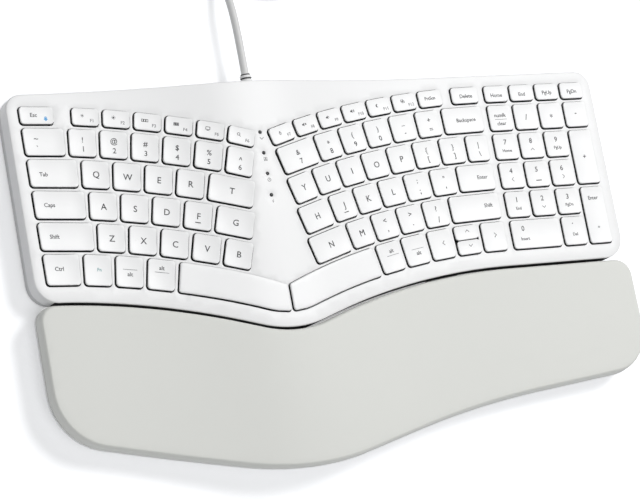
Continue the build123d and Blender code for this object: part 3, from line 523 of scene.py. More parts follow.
def right_keys(row, edge, count, first_width=key_width):
    """Caps side by side on a right row, the innermost of them wider where that is said."""
    starts = [edge + key_gap + n * key_pitch for n in range(count)]
    widths = [key_width] * (count - 1) + [first_width]
    return [row_key(1, row, start, width) for start, width in zip(starts, widths)][::-1]


def half_key(key, rear):
    """The front or the rear half of a cap, with a gap between the two."""
    front_left, front_right, rear_right, rear_left = key
    back = (rear_right - front_right).normalized()
    depth = ((rear_right - front_right).length - half_key_gap) / 2
    if rear:
        return [rear_left - back * depth, rear_right - back * depth, rear_right, rear_left]
    return [front_left, front_right, front_right + back * depth, front_left + back * depth]


# %% All the caps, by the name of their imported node
left_starts = {
    "function": 45.9,
    "number": 41.2,
    "upper": 46.0,
    "home": 47.3,
    "lower": 49.0,
    "space": 37.3,
}
right_ends = {
    "function": 25.6 - key_gap,
    "number": 27.15,
    "upper": 13.96,
    "home": 24.56,
    "lower": 34.24,
    "space": 15.4,
}
escape_end = 34.4
delete_end = 18.0
vertical_arrows = row_key(1, "space", right_ends["space"] + key_gap, key_width)

# By row: the outer key, how many caps stand beside it, and the width of the innermost of them
left_blocks = {
    "function": ("esc_key", 6, key_width),
    "number": ("backquote_key", 6, key_width),
    "upper": ("tab_key", 5, 27.5),
    "home": ("caps_lock_key", 5, 22.6),
    "lower": ("left_shift_key", 5, key_width),
    "space": ("left_control_key", 3, key_width),
}
right_blocks = {
    "function": ("delete_key", 7, key_width),
    "number": ("backspace_key", 6, 26.5),
    "upper": ("upper_keys_right", 7, key_width),
    "home": ("enter_key", 6, 21.5),
    "lower": ("right_shift_key", 5, 27.4),
}
keys = {}
# By node: the side, the row, where its first plain cap starts along the arc, and how many there are
plain_rows = {"modifier_keys_right": (1, "space", right_ends["space"] + key_gap + 2 * key_pitch, 2)}
for row, (outer, count, inner_width) in left_blocks.items():
    name = f"{'modifier' if row == 'space' else row}_keys_left"
    end = escape_end if row == "function" else left_starts[row] - key_gap
    keys[outer] = [edge_key(-1, row, end)]
    keys[name] = left_keys(row, left_starts[row], count, inner_width)
    plain_rows[name] = (-1, row, left_starts[row], count - (inner_width > key_width))
for row, (outer, count, inner_width) in right_blocks.items():
    name = f"{row}_keys_right"
    end = delete_end if row == "function" else right_ends[row]
    keys[name] = right_keys(row, right_ends[row], count, inner_width)
    keys[outer] = keys.get(outer, []) + [edge_key(1, row, end)]
    plain_rows[name] = (1, row, right_ends[row] + key_gap, count - (inner_width > key_width))
keys |= {
    "modifier_keys_right": right_keys("space", right_ends["space"] + 2 * key_pitch, 2),
    "arrow_left_key": [row_key(1, "space", right_ends["space"] + key_gap + key_pitch, key_width)],
    "arrow_up_key": [half_key(vertical_arrows, rear=True)],
    "arrow_down_key": [half_key(vertical_arrows, rear=False)],
    "arrow_right_key": [edge_key(1, "space", right_ends["space"])],
    "navigation_keys": [numpad_key(column, "function") for column in range(4)],
    "numpad_top_keys": [numpad_key(column, "number") for column in range(4)],
    "numpad_upper_keys": [numpad_key(column, "upper") for column in range(3)],
    "numpad_home_keys": [numpad_key(column, "home") for column in range(3)],
    "numpad_lower_keys": [numpad_key(column, "lower") for column in range(3)],
    "numpad_plus_key": [numpad_key(3, "home", last_row="upper")],
    "numpad_enter_key": [numpad_key(3, "space", last_row="lower")],
    "numpad_zero_key": [numpad_key(0, "space", columns=2)],
    "numpad_decimal_key": [numpad_key(2, "space")],
}
print("caps", sum(len(group) for group in keys.values()), "and two space bars")

# %% [markdown]
# ## One cap
#
# A cap is a thin shell: a short drafted skirt, a rolled upper edge, and a dish in its top that
# guides a fingertip. It could be a cube with bevels, but then the dish and the rounded corners
# fight each other. Here it is a stack of loops, all with the same number of points, from the middle
# of the dish out over the edge, down the skirt, up inside and down the stem.

# %% Sizes of a cap
cap_height = 1.3
# A cap's skirt below this height over the deck is painted dark, as painted shade in its well gap
painted_shade_line = 0.5
skirt_depth = 2.6
cap_wall = 1.1
cap_top = 1.2
cap_draft = tan(radians(3.0))
edge_radius = 0.35
corner_radius = 2.0
corner_steps = 5
edge_steps = 3
side_run = 3.2
dish_depth = 0.72
dish_share = 1.14
dish_softness = 0.06
full_dish_reach = 8.0
dish_loops = (0.12, 0.3, 0.48, 0.62, 0.74, 0.84, 0.92, 0.97)
stem_radius = 2.2
stem_foot = -1.6


# %% The frame of one cap
class Cap:
    """A cap's middle on the deck, its axes, and its corners in those axes."""

    def __init__(self, corners):
        self.middle = sum(corners, Vector((0, 0))) / len(corners)
        x, y = self.middle
        angle = deck_angle(x)
        self.origin = Vector((x, y, deck_height + deck_rise(x)))
        self.normal = Vector((-sin(angle), 0, cos(angle)))
        way = (corners[1] - corners[0] + corners[2] - corners[3]).normalized()
        self.right = Vector((way.x, way.y, way.x * tan(angle))).normalized()
        self.back = self.normal.cross(self.right)
        self.corners = []
        for corner in corners:
            offset = corner - self.middle
            raised = Vector((offset.x, offset.y, offset.x * tan(angle)))
            self.corners.append(Vector((raised.dot(self.right), raised.dot(self.back))))
        xs = [corner.x for corner in self.corners]
        ys = [corner.y for corner in self.corners]
        width = (max(xs) - min(xs) + abs(xs[1] - xs[0])) / 2
        depth = ys[2] - ys[1]
        self.reach = min(width, depth) / 2
        self.spare_x = max(width / 2 - self.reach, 0)
        self.spare_y = max(depth / 2 - self.reach, 0)

    def dish(self, x, y):
        """Depth of the dish at a place on the cap."""
        far = hypot(max(abs(x) - self.spare_x, 0), max(abs(y) - self.spare_y, 0))
        level = 1 - (far / (self.reach * dish_share)) ** 2
        soft = (level + sqrt(level**2 + dish_softness**2)) / 2
        return dish_depth * soft * min(self.reach / full_dish_reach, 1.0)

    def place(self, x, y, height):
        """A point of the cap in the shared frame, in metres."""
        return (self.origin + self.right * x + self.back * y + self.normal * height) * mm


# %% The loops of a cap, and its closed mesh
def rounded_loop(corners, grow, radius):
    """A loop round a polygon moved outwards by grow, with an arc at each corner."""
    count = len(corners)
    arcs = []
    for n in range(count):
        before, here, after = corners[n - 1], corners[n], corners[(n + 1) % count]
        way_in = (here - before).normalized()
        way_out = (after - here).normalized()
        out_in = Vector((way_in.y, -way_in.x))
        out_out = Vector((way_out.y, -way_out.x))
        spread = (out_in + out_out) / (1 + out_in.dot(out_out))
        centre = here + spread * (grow - radius)
        start = atan2(out_in.y, out_in.x)
        turn = (atan2(out_out.y, out_out.x) - start) % (2 * pi)
        arcs.append(
            [
                centre + Vector((cos(angle), sin(angle))) * radius
                for angle in (start + turn * step / corner_steps for step in range(corner_steps + 1))
            ]
        )
    points = []
    for n in range(count):
        points += arcs[n]
        start, end = arcs[n][-1], arcs[(n + 1) % count][0]
        side = (corners[(n + 1) % count] - corners[n]).length
        runs = max(ceil(side / side_run), 1)
        points += [start.lerp(end, step / runs) for step in range(1, runs)]
    return points


def cap_loops(cap):
    """Every loop of a cap, as lists of (x, y, height), from the dish's middle to the stem's foot."""
    radius = corner_radius
    rim = rounded_loop(cap.corners, -edge_radius, radius - edge_radius)
    wide, deep = cap.spare_x, cap.spare_y
    spine = [Vector((min(max(p.x, -wide), wide), min(max(p.y, -deep), deep))) for p in rim]
    loops = []
    for share in dish_loops:
        inner = [middle.lerp(point, share) for middle, point in zip(spine, rim)]
        loops.append([(p.x, p.y, cap_height - cap.dish(p.x, p.y)) for p in inner])
    sunk = [cap.dish(p.x, p.y) for p in rim]
    for step in range(edge_steps + 1):
        angle = pi / 2 * (1 - step / edge_steps)
        inward = edge_radius * (1 - cos(angle))
        loop = rounded_loop(cap.corners, -inward, radius - inward)
        height = cap_height - edge_radius * (1 - sin(angle))
        loops.append([(p.x, p.y, height - low) for p, low in zip(loop, sunk)])
    low_flare = (cap_height + skirt_depth) * cap_draft
    ceiling_height = cap_height - cap_top - dish_depth / 2
    for grow, height in (
        ((cap_height - painted_shade_line) * cap_draft, painted_shade_line),
        (low_flare, -skirt_depth),
        (low_flare - cap_wall, -skirt_depth),
        (-cap_wall, ceiling_height),
    ):
        loop = rounded_loop(cap.corners, grow, radius + grow)
        loops.append([(p.x, p.y, height) for p in loop])
    around = [atan2(p.y, p.x) for p in loop]
    for height in (ceiling_height, stem_foot):
        loops.append([(stem_radius * cos(a), stem_radius * sin(a), height) for a in around])
    return loops


def cap_mesh(name, cap, placed=True):
    """One whole cap whose lower skirt and inside are painted dark as painted shade, in the shared frame
    or by itself at the origin.
    """
    loops = cap_loops(cap)
    ends = [(0, 0, cap_height - cap.dish(0, 0)), (0, 0, stem_foot)]
    points = [point for loop in loops for point in loop] + ends
    vertices = [cap.place(*point) for point in points] if placed else in_metres(points)
    # Faces from the painted-shade line down the skirt and inside the cap take the dark finish: painted
    # shade
    painted_shade_from = len(dish_loops) + edge_steps + 1
    count = len(loops[0])
    faces = []
    for n in range(len(loops) - 1):
        for step in range(count):
            after = (step + 1) % count
            faces.append(
                (n * count + step, (n + 1) * count + step, (n + 1) * count + after, n * count + after)
            )
    last = (len(loops) - 1) * count
    for step in range(count):
        after = (step + 1) % count
        faces.append((len(vertices) - 2, step, after))
        faces.append((len(vertices) - 1, last + after, last + step))
    mesh = bpy.data.meshes.new(name)
    mesh.from_pydata(vertices, [], faces)
    mesh.materials.append(cap_white)
    mesh.materials.append(painted_gap_shade)
    for face in mesh.polygons[painted_shade_from * count : -2 * count]:
        face.material_index = 1
    return mesh


def finished(name, mesh, crease=35.0):
    """An object for a mesh, with smooth faces and crisp edges."""
    mesh.shade_smooth()
    mesh.set_sharp_from_angle(angle=radians(crease))
    return linked(name, mesh)


# %% [markdown]
# ## Rows of plain caps
#
# Most caps are the same moulding, repeated along an arc. A Geometry Nodes tree places them: it
# takes the row's sizes as named inputs, works out each place, the deck's height and its slope
# there, and puts one cap on each point. An Array modifier can't follow the dome like that.


# %% The row tree
def new_tree(name, output, inputs):
    """An empty Geometry Nodes tree with named sockets: its recipe, and its inputs by name."""
    tree = bpy.data.node_groups.new(name, "GeometryNodeTree")
    for label, kind in inputs.items():
        tree.interface.new_socket(label, in_out="INPUT", socket_type=f"NodeSocket{kind}")
    tree.interface.new_socket(output, in_out="OUTPUT", socket_type="NodeSocketGeometry")
    recipe = Recipe(tree)
    given = recipe.node("NodeGroupInput")
    return recipe, {label: Signal(recipe, given.outputs[label]) for label in inputs}


def on_points(recipe, points, **inputs):
    """Copies of one piece on points, made real."""
    many = recipe.add("GeometryNodeInstanceOnPoints", inputs={"Points": points, **inputs})
    return recipe.add("GeometryNodeRealizeInstances", inputs={"Geometry": many})


def shape_of(recipe, thing):
    """The shape of the object that a socket names."""
    return recipe.add("GeometryNodeObjectInfo", inputs={"Object": thing}, output="Geometry")


def row_tree():
    """Sets one cap on each place of an arc, upright on the dome."""
    numbers = dict.fromkeys(("Side", "Front edge", "Cap depth", "First place", "Pitch"), "Float")
    recipe, value = new_tree(
        "caps_on_an_arc", "Caps", {**numbers, "Count": "Int", "Cap": "Object", "Finish": "Material"}
    )
    place_number = recipe.add("GeometryNodeInputIndex")
    radius = value["Front edge"] - arc_centre_y
    angle = (value["First place"] + place_number * value["Pitch"]) / radius
    middle_radius = radius + value["Cap depth"] / 2
    x = split_x + value["Side"] * (apex_reach - middle_radius * angle.sine())
    y = arc_centre_y + middle_radius * angle.cosine()
    reach = abs(x - split_x)
    on_crest = reach < crest_reach
    on_ramp = (reach < crest_reach + ramp_reach) * (1 - on_crest)
    on_foot = (reach < dome_reach) * (1 - on_crest) * (1 - on_ramp)
    from_foot = dome_reach - reach
    rise = (
        on_crest * (dome_height - crest_radius + (crest_radius**2 - reach * reach).root())
        + on_ramp * (dome_height - crest_drop - (reach - crest_reach) * tan(dome_slope))
        + on_foot * (foot_radius - (foot_radius**2 - from_foot * from_foot).root())
    )
    lean = (
        on_crest * reach / crest_radius
        + on_ramp * sin(dome_slope)
        + on_foot * from_foot / foot_radius
    ) * value["Side"]
    upright = (1 - lean * lean).root()
    normal = recipe.add("ShaderNodeCombineXYZ", inputs={0: lean, 2: upright})
    way = recipe.add(
        "ShaderNodeCombineXYZ",
        inputs={
            0: angle.cosine(),
            1: value["Side"] * angle.sine(),
            2: 0 - angle.cosine() * lean / upright,
        },
    )
    turn = recipe.add(
        "FunctionNodeAxesToRotation",
        {"primary_axis": "Z", "secondary_axis": "X"},
        {"Primary Axis": normal, "Secondary Axis": way},
    )
    spot = recipe.add(
        "ShaderNodeCombineXYZ", inputs={0: x * mm, 1: y * mm, 2: (deck_height + rise) * mm}
    )
    places = recipe.add("GeometryNodeMeshLine", inputs={"Count": value["Count"]})
    moved = recipe.add("GeometryNodeSetPosition", inputs={"Geometry": places, "Position": spot})
    real = on_points(recipe, moved, Instance=shape_of(recipe, value["Cap"]), Rotation=turn)
    # Only faces of index 0 take the row's finish, so the skirt keeps its painted shade
    without_painted_shade = recipe.add("GeometryNodeInputMaterialIndex") < 1
    dressed = recipe.add(
        "GeometryNodeSetMaterial",
        inputs={"Geometry": real, "Selection": without_painted_shade, "Material": value["Finish"]},
    )
    recipe.node("NodeGroupOutput", inputs={"Caps": dressed})
    return recipe.tree


def run_tree(tree, name, values):
    """The plain mesh that a Geometry Nodes tree makes from named values."""
    carrier = linked(name, bpy.data.meshes.new(name))
    modifier = carrier.modifiers.new("made_by_nodes", "NODES")
    modifier.node_group = tree
    sockets = {item.name: item.identifier for item in tree.interface.items_tree
               if item.item_type == "SOCKET" and item.in_out == "INPUT"}
    for label, value in values.items():
        modifier[sockets[label]] = value
    evaluated = carrier.evaluated_get(bpy.context.evaluated_depsgraph_get())
    mesh = bpy.data.meshes.new_from_object(evaluated)
    carrier.modifiers.remove(modifier)
    bpy.data.objects.remove(carrier)
    mesh.name = name
    return mesh


caps_on_an_arc = row_tree()

# %% One moulding for each row depth, drawn at a place where the deck is flat
deck_flat_x = split_x + dome_reach + 50.0


def plain_cap(depth):
    """A plain cap that stands by itself, as the pattern for a row."""
    corners = [Vector((x * key_width / 2, y * depth / 2)) for x, y in square]
    cap = Cap([corner + Vector((deck_flat_x, 0)) for corner in corners])
    return finished("cap_pattern", cap_mesh("cap_pattern", cap, placed=False))


patterns = {depth: plain_cap(depth) for depth in dict.fromkeys(row[1] for row in key_rows.values())}


def joined(name, meshes):
    """One mesh from several, with their finishes kept."""
    together = bmesh.new()
    finishes = []
    for mesh in meshes:
        renumber = []
        for material in mesh.materials:
            if material not in finishes:
                finishes.append(material)
            renumber.append(finishes.index(material))
        first = len(together.faces)
        together.from_mesh(mesh)
        together.faces.ensure_lookup_table()
        for face in together.faces[first:]:
            face.material_index = renumber[face.material_index] if renumber else 0
    result = bpy.data.meshes.new(name)
    together.to_mesh(result)
    together.free()
    for material in finishes:
        result.materials.append(material)
    return result


# %% Every cap on the body of its key
cap_frames = {name: [Cap(corners) for corners in group] for name, group in keys.items()}
for name, group in cap_frames.items():
    meshes = []
    wide_caps = group
    if name in plain_rows:
        side, row, start, count = plain_rows[name]
        front, depth = key_rows[row]
        meshes.append(
            run_tree(
                caps_on_an_arc,
                f"{name}_plain",
                {
                    "Side": float(side),
                    "Front edge": front,
                    "Cap depth": depth,
                    "First place": start + key_width / 2,
                    "Pitch": key_pitch,
                    "Count": count,
                    "Cap": patterns[depth],
                    "Finish": cap_white,
                },
            )
        )
        wide_last = side < 0 or name == "upper_keys_right"
        wide_caps = group[count:] if wide_last else group[: len(group) - count]
    meshes += [cap_mesh(f"{name}_cap", cap) for cap in wide_caps]
    caps = finished(f"{name}_caps", joined(f"{name}_caps", meshes))
    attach(caps, name)
    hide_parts(name)
for pattern in patterns.values():
    bpy.data.objects.remove(pattern)

# %% [markdown]
# ## Letters, numbers and signs
#
# The legends are printed ink. A letter comes from a text curve in the built-in font, and a sign is
# a flat curve whose outlines are worked out here. Both become thin solids, and every point of them
# is then laid on its cap's dish. An image would blur at this distance, and real ink has an edge.

# %% Flat outlines for signs, in millimetres
ink_lift = 0.03
ink_thickness = 0.05
line_width = 0.28
chevron_size = 1.1


def disc(x, y, radius, steps=20):
    """Points round a circle, anticlockwise."""
    turns = [2 * pi * step / steps for step in range(steps)]
    return [Vector((x + radius * cos(turn), y + radius * sin(turn))) for turn in turns]


def ring(x, y, radius, width=line_width):
    return [disc(x, y, radius + width / 2), disc(x, y, radius - width / 2)]


def stroke(points, width=line_width, closed=False):
    """Outlines of a line of even width with mitred corners."""
    points = [Vector(point) for point in points]
    count = len(points)
    left, right = [], []
    for n, here in enumerate(points):
        ways = []
        if closed or n:
            ways.append((here - points[n - 1]).normalized())
        if closed or n < count - 1:
            ways.append((points[(n + 1) % count] - here).normalized())
        first = Vector((-ways[0].y, ways[0].x))
        last = Vector((-ways[-1].y, ways[-1].x))
        spread = (first + last) / (1 + first.dot(last)) * (width / 2)
        left.append(here + spread)
        right.append(here - spread)
    return [left, right] if closed else [left + right[::-1]]


def box(x, y, width, height, line=line_width):
    """A drawn rectangle."""
    return stroke([(x + a * width / 2, y + b * height / 2) for a, b in square], line, closed=True)


def arc_points(x, y, radius, start, end, steps=8):
    turns = [radians(start + (end - start) * step / steps) for step in range(steps + 1)]
    return [(x + radius * cos(turn), y + radius * sin(turn)) for turn in turns]


def sun(radius):
    """A disc with eight rays."""
    rays = []
    for n in range(8):
        way = Vector((cos(pi * n / 4), sin(pi * n / 4)))
        rays.append(stroke([way * radius * 1.5, way * radius * 2.2], line_width * 0.8))
    return [[disc(0, 0, radius)], *rays]


def speaker(waves):
    """A loudspeaker with some sound waves, or with a cross where there are none."""
    lower_half = [Vector(p) for p in ((-1.5, -0.4), (-0.9, -0.4), (-0.2, -1.0))]
    upper_half = [Vector((p.x, -p.y)) for p in lower_half[::-1]]
    sign = [[lower_half + upper_half]]
    for n in range(waves):
        sign.append(stroke(arc_points(-0.2, 0, 0.7 + 0.6 * n, -45, 45)))
    if not waves:
        sign.append(stroke([(0.4, -0.5), (1.4, 0.5)]))
        sign.append(stroke([(0.4, 0.5), (1.4, -0.5)]))
    return sign


def chevron(turn):
    """An angle bracket that points to the right, turned anticlockwise in degrees."""
    tip = Vector((cos(radians(turn)), sin(radians(turn)))) * chevron_size * 0.5
    side = Vector((-tip.y, tip.x)) * 2
    return [stroke([side - tip, tip, -side - tip])]


signs = {
    "sun_low": sun(0.42),
    "sun_high": sun(0.55),
    "windows": [box(-1.3, 0, 1.0, 1.3), box(0, 0, 1.0, 1.3), box(1.3, 0, 1.0, 1.3)],
    "grid": [box(x, y, 0.7, 0.55) for x in (-1.0, 0.0, 1.0) for y in (-0.45, 0.45)],
    "screen": [box(0, 0.2, 2.3, 1.5), stroke([(-0.6, -1.0), (0.6, -1.0)])],
    "magnifier": [ring(-0.2, 0.2, 0.75), stroke([(0.35, -0.35), (1.1, -1.1)])],
    "microphone": [
        stroke([(0, -0.1), (0, 0.9)], 0.7),
        stroke(arc_points(0, 0, 0.75, 180, 360)),
        stroke([(0, -0.75), (0, -1.25)]),
    ],
    "speaker_off": speaker(0),
    "speaker_low": speaker(1),
    "speaker_high": speaker(2),
    "moon": [
        [
            [
                Vector(p)
                for p in arc_points(0, 0, 0.95, 50, 310, 14) + arc_points(0.55, 0, 0.75, 285, 75, 10)
            ]
        ]
    ],
    "sheets": [box(-0.35, 0.3, 1.5, 1.1), box(0.35, -0.35, 1.5, 1.1)],
    "padlock": [[disc(0, -0.5, 0.95, 4)], stroke(arc_points(0, 0.1, 0.55, 0, 180))],
    "left": chevron(180),
    "right": chevron(0),
    "up": chevron(90),
    "down": chevron(270),
    "divider": [stroke([(-4.0, 0), (4.0, 0)], 0.25)],
    "home_bar": [stroke([(-1.7, 0), (1.7, 0)], 0.5)],
    "boxed_letter": [
        box(0, 0, 1.9, 1.9, 0.2),
        stroke([(-0.5, -0.6), (0, 0.6), (0.5, -0.6)], 0.22),
        stroke([(-0.3, -0.2), (0.3, -0.2)], 0.2),
    ],
    "dial": [ring(0, 0, 0.9, 0.22), *(stroke([(0, 0), end], 0.2) for end in ((0, 0.6), (0.4, -0.3)))],
    "bolt": [stroke([(0.3, 0.9), (-0.45, 0.05), (0.35, -0.1), (-0.3, -0.9)], 0.24)],
}


# %% Text and signs as thin solids
def thin_solid(curve):
    """The mesh of a flat curve, with a little thickness."""
    curve.extrude = ink_thickness / 2
    carrier = linked("ink", curve)
    graph = bpy.context.evaluated_depsgraph_get()
    mesh = bpy.data.meshes.new_from_object(carrier.evaluated_get(graph))
    bpy.data.objects.remove(carrier)
    bpy.data.curves.remove(curve)
    return mesh


def text_solid(text, height):
    """Text whose capitals have this height, centred on its own box."""
    curve = bpy.data.curves.new("ink", "FONT")
    curve.body = text
    curve.size = height / capital_share
    curve.resolution_u = 3
    curve.bevel_depth = ink_spread
    curve.bevel_resolution = 0
    mesh = thin_solid(curve)
    xs = [vertex.co.x for vertex in mesh.vertices]
    ys = [vertex.co.y for vertex in mesh.vertices]
    middle = Vector(((min(xs) + max(xs)) / 2, (min(ys) + max(ys)) / 2, 0))
    for vertex in mesh.vertices:
        vertex.co -= middle
    return mesh


def sign_solid(name, size):
    """A sign at some size, each of its shapes a solid of its own."""
    shapes = []
    for outlines in signs[name]:
        curve = bpy.data.curves.new("ink", "CURVE")
        curve.dimensions = "2D"
        curve.fill_mode = "BOTH"
        for outline in outlines:
            spline = curve.splines.new("POLY")
            spline.points.add(len(outline) - 1)
            for spline_point, place in zip(spline.points, outline):
                spline_point.co = (place.x * size, place.y * size, 0, 1)
            spline.use_cyclic_u = True
        shapes.append(thin_solid(curve))
    return joined(name, shapes)


capital_share = 0.73
ink_spread = 0.045
solids = {}


def solid_of(mark, size):
    """The thin solid of a word or a sign, made once for each size."""
    if (mark, size) not in solids:
        solids[mark, size] = sign_solid(mark, size) if mark in signs else text_solid(mark, size)
    return solids[mark, size]


def laid(mesh, place, finish):
    """A copy of a thin solid, with a rule that gives each of its points a new place."""
    copy = mesh.copy()
    for vertex in copy.vertices:
        vertex.co = place(*vertex.co)
    copy.materials.clear()
    copy.materials.append(finish)
    return copy


def on_cap(cap, x, y, lift=ink_lift):
    """The rule that lays a mark on a cap's dish."""

    def place(right, back, up):
        height = cap_height - cap.dish(x + right, y + back) + lift + up
        return cap.place(x + right, y + back, height)

    return place


# %% What is printed on each cap: word or sign, size, place and ink
letter_height = 3.9
digit_height = 3.3
word_height = 2.5
small_height = 2.0
line_above = 1.9
line_above_dots = 2.9
line_below = -3.6
row_shifts = {f"{row}_keys_right": 0.7 for row in ("number", "upper", "home", "lower")}
row_shifts["function_keys_left"] = -0.8


def letter(text):
    return [(text, letter_height, 0.4, -0.2, ink_dark)]


def pair(upper, lower):
    """A sign over a number or over another sign."""
    return [
        (upper, digit_height, 0.2, line_above, ink_dark),
        (lower, digit_height, 0.4, line_below, ink_dark),
    ]


def low_pair(upper, lower):
    """Two signs of which the lower sits on the line, such as a comma."""
    return [
        (upper, digit_height, 0.2, line_above_dots, ink_dark),
        (lower, letter_height, 0.4, line_below - 0.4, ink_dark),
    ]


def word(text, x=0.0, y=0.0, height=word_height, ink=ink_dark):
    return [(text, height, x, y, ink)]


def function_legend(sign, text):
    return [(sign, 1.1, -1.0, 0.7, ink_dark), (text, small_height, 4.7, -2.0, ink_light)]


def number_pad(digit, lower, sign=False, lower_y=-2.6):
    size = 1.2 if sign else small_height
    return [(digit, digit_height, 0.0, 3.0, ink_dark), (lower, size, 0.4, lower_y, ink_dark)]


def two_lines(upper, lower, middle=1.4, x=0.3):
    marks = [("divider", 1.1, x, middle, ink_light)]
    if upper:
        marks.append((upper, word_height, x - 0.1, middle + 2.7, ink_dark))
    if lower:
        marks.append((lower, word_height, x + 0.1, middle - 2.7, ink_dark))
    return marks


# %% The legends, cap by cap
legends = {
    "esc_key": [word("Esc", -1.8, 0.3) + [("padlock", 1.3, 5.5, -1.6, ink_blue)]],
    "function_keys_left": [
        function_legend(sign, f"F{n + 1}")
        for n, sign in enumerate(("sun_low", "sun_high", "windows", "grid", "screen", "magnifier"))
    ],
    "backquote_key": [[("~", 3.4, -4.8, 1.8, ink_dark), ("`", 3.4, -4.6, -2.6, ink_dark)]],
    "number_keys_left": [pair(sign, digit) for sign, digit in zip("!@#$%^", "123456")],
    "tab_key": [word("Tab", -6.1, -0.6)],
    "upper_keys_left": [letter(text) for text in "QWERT"],
    "caps_lock_key": [word("Caps", -6.2, -0.4)],
    "home_keys_left": [letter(text) for text in "ASDFG"],
    "left_shift_key": [word("Shift", -7.2)],
    "lower_keys_left": [letter(text) for text in "ZXCVB"],
    "left_control_key": [word("Ctrl", -1.8, 0.6)],
    "modifier_keys_left": [
        word("Fn", 1.0, 0.4, 2.1, ink_tint),
        two_lines("", "alt"),
        two_lines("alt", ""),
    ],
    "function_keys_right": [
        function_legend(sign, f"F{n + 7}")
        for n, sign in enumerate(
            ("microphone", "speaker_off", "speaker_low", "speaker_high", "moon", "sheets")
        )
    ]
    + [word("PrtScn", 0.0, 0.2, 2.2)],
    "delete_key": [word("Delete", 0.9, -0.5)],
    "number_keys_right": [pair(sign, digit) for sign, digit in zip("&*()", "7890")]
    + [
        [("_", digit_height, 0.2, 1.2, ink_dark), ("-", digit_height, 0.4, -3.6, ink_dark)],
        [("+", digit_height, 0.2, 2.4, ink_dark), ("=", digit_height, 0.4, -3.6, ink_dark)],
    ],
    "backspace_key": [word("Backspace", 2.4, -0.4)],
    "upper_keys_right": [letter(text) for text in "YUIOP"]
    + [pair(upper, lower) for upper, lower in zip("{}|", "[]\\")],
    "home_keys_right": [letter(text) for text in "HJKL"] + [low_pair(":", ";"), low_pair('"', "'")],
    "enter_key": [word("Enter", 4.8, 0.2)],
    "lower_keys_right": [letter(text) for text in "NM"]
    + [low_pair("<", ","), low_pair(">", "."), low_pair("?", "/")],
    "right_shift_key": [word("Shift", 10.0, 0.7)],
    "modifier_keys_right": [two_lines("alt", "", 0.9, 2.2), two_lines("", "alt", 0.7, 1.6)],
    "arrow_left_key": [[("left", 1.3, 2.0, 0.6, ink_dark)]],
    "arrow_up_key": [[("up", 1.2, 1.0, 0.9, ink_dark)]],
    "arrow_down_key": [[("down", 1.2, 1.2, 0.9, ink_dark)]],
    "arrow_right_key": [[("right", 1.3, 1.3, 1.1, ink_dark)]],
    "navigation_keys": [word(text, 0.3, -0.9) for text in ("Home", "End", "PgUp", "PgDn")],
    "numpad_top_keys": [two_lines("numlk", "clear", -0.9)] + [letter(text) for text in "/*"]
    + [[("-", letter_height, 0.2, 0.6, ink_dark)]],
    "numpad_upper_keys": [number_pad("7", "Home"), number_pad("8", "up", True), number_pad("9", "PgUp")],
    "numpad_home_keys": [
        number_pad("4", "left", sign=True),
        number_pad("5", "home_bar", sign=True, lower_y=-4.2),
        number_pad("6", "right", sign=True),
    ],
    "numpad_lower_keys": [number_pad("1", "End"), number_pad("2", "down", True), number_pad("3", "PgDn")],
    "numpad_plus_key": [[("+", digit_height, 0.2, 0.2, ink_dark)]],
    "numpad_enter_key": [word("Enter", 0.1, 11.2) + [("=", small_height, 0.2, -8.0, ink_dark)]],
    "numpad_zero_key": [
        [("0", digit_height, -9.2, 3.8, ink_dark), ("Insert", small_height, -8.6, -2.8, ink_dark)]
    ],
    "numpad_decimal_key": [
        [(".", letter_height, -0.3, 4.8, ink_dark), ("Del", small_height, 0.5, -2.2, ink_dark)]
    ],
}
home_bars = {"home_keys_left": 3, "home_keys_right": 1}
home_bar_y = -4.1
home_bar_lift = 0.2

# %% Laying the ink on the caps
for name, group in legends.items():
    prints = []
    shift = row_shifts.get(name, 0.0)
    for cap, marks in zip(cap_frames[name], group):
        for mark, size, x, y, ink in marks:
            prints.append(laid(solid_of(mark, size), on_cap(cap, x + shift, y), ink))
    # The homing bar is a small raised bar in the same dark colour as the letters
    if name in home_bars:
        raised = on_cap(cap_frames[name][home_bars[name]], shift, home_bar_y, home_bar_lift)
        prints.append(laid(solid_of("home_bar", 1.0), raised, ink_dark))
    legend = finished(f"{name}_legends", joined(f"{name}_legends", prints))
    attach(legend, name)
print("different marks", len(solids))

# %% [markdown]
# ## The body's outline
#
# The front edge sweeps forward round the split: a flat run, a wide arc, a straight flank and a
# small nose arc, mirrored. The palm rest's rear follows the same line with a small gap. Here the
# line is one function of x, and the rest of each outline is straight sides with round corners.

# %% Outlines of the body and the palm rest
case_half_width = 202.3
case_rear = 117.0
case_front = -6.3
rear_corner = 10.0
front_corner = 14.0
sweep_angle = radians(18.14)
nose_radius = 65.0
sweep_radius = case_front - arc_centre_y
sweep_reach = apex_reach - sweep_radius * tan(sweep_angle / 2)
nose_drop = sweep_reach * tan(sweep_angle)
outline_run = 4.0


def front_y(x, out=0.0):
    """The front edge at x, moved outwards."""
    reach = abs(x - split_x)
    level = case_front - out
    wide = sweep_radius - out
    nose = nose_radius + out
    arc_start = sweep_reach + wide * tan(sweep_angle / 2)
    arc_end = sweep_reach - wide * tan(sweep_angle / 2) * cos(sweep_angle)
    if reach >= arc_start:
        return level
    if reach >= arc_end:
        return level - wide + sqrt(wide**2 - (arc_start - reach) ** 2)
    if reach >= nose * sin(sweep_angle):
        return level - (sweep_reach - reach) * tan(sweep_angle)
    return level - nose_drop + nose / cos(sweep_angle) - sqrt(nose**2 - reach**2)


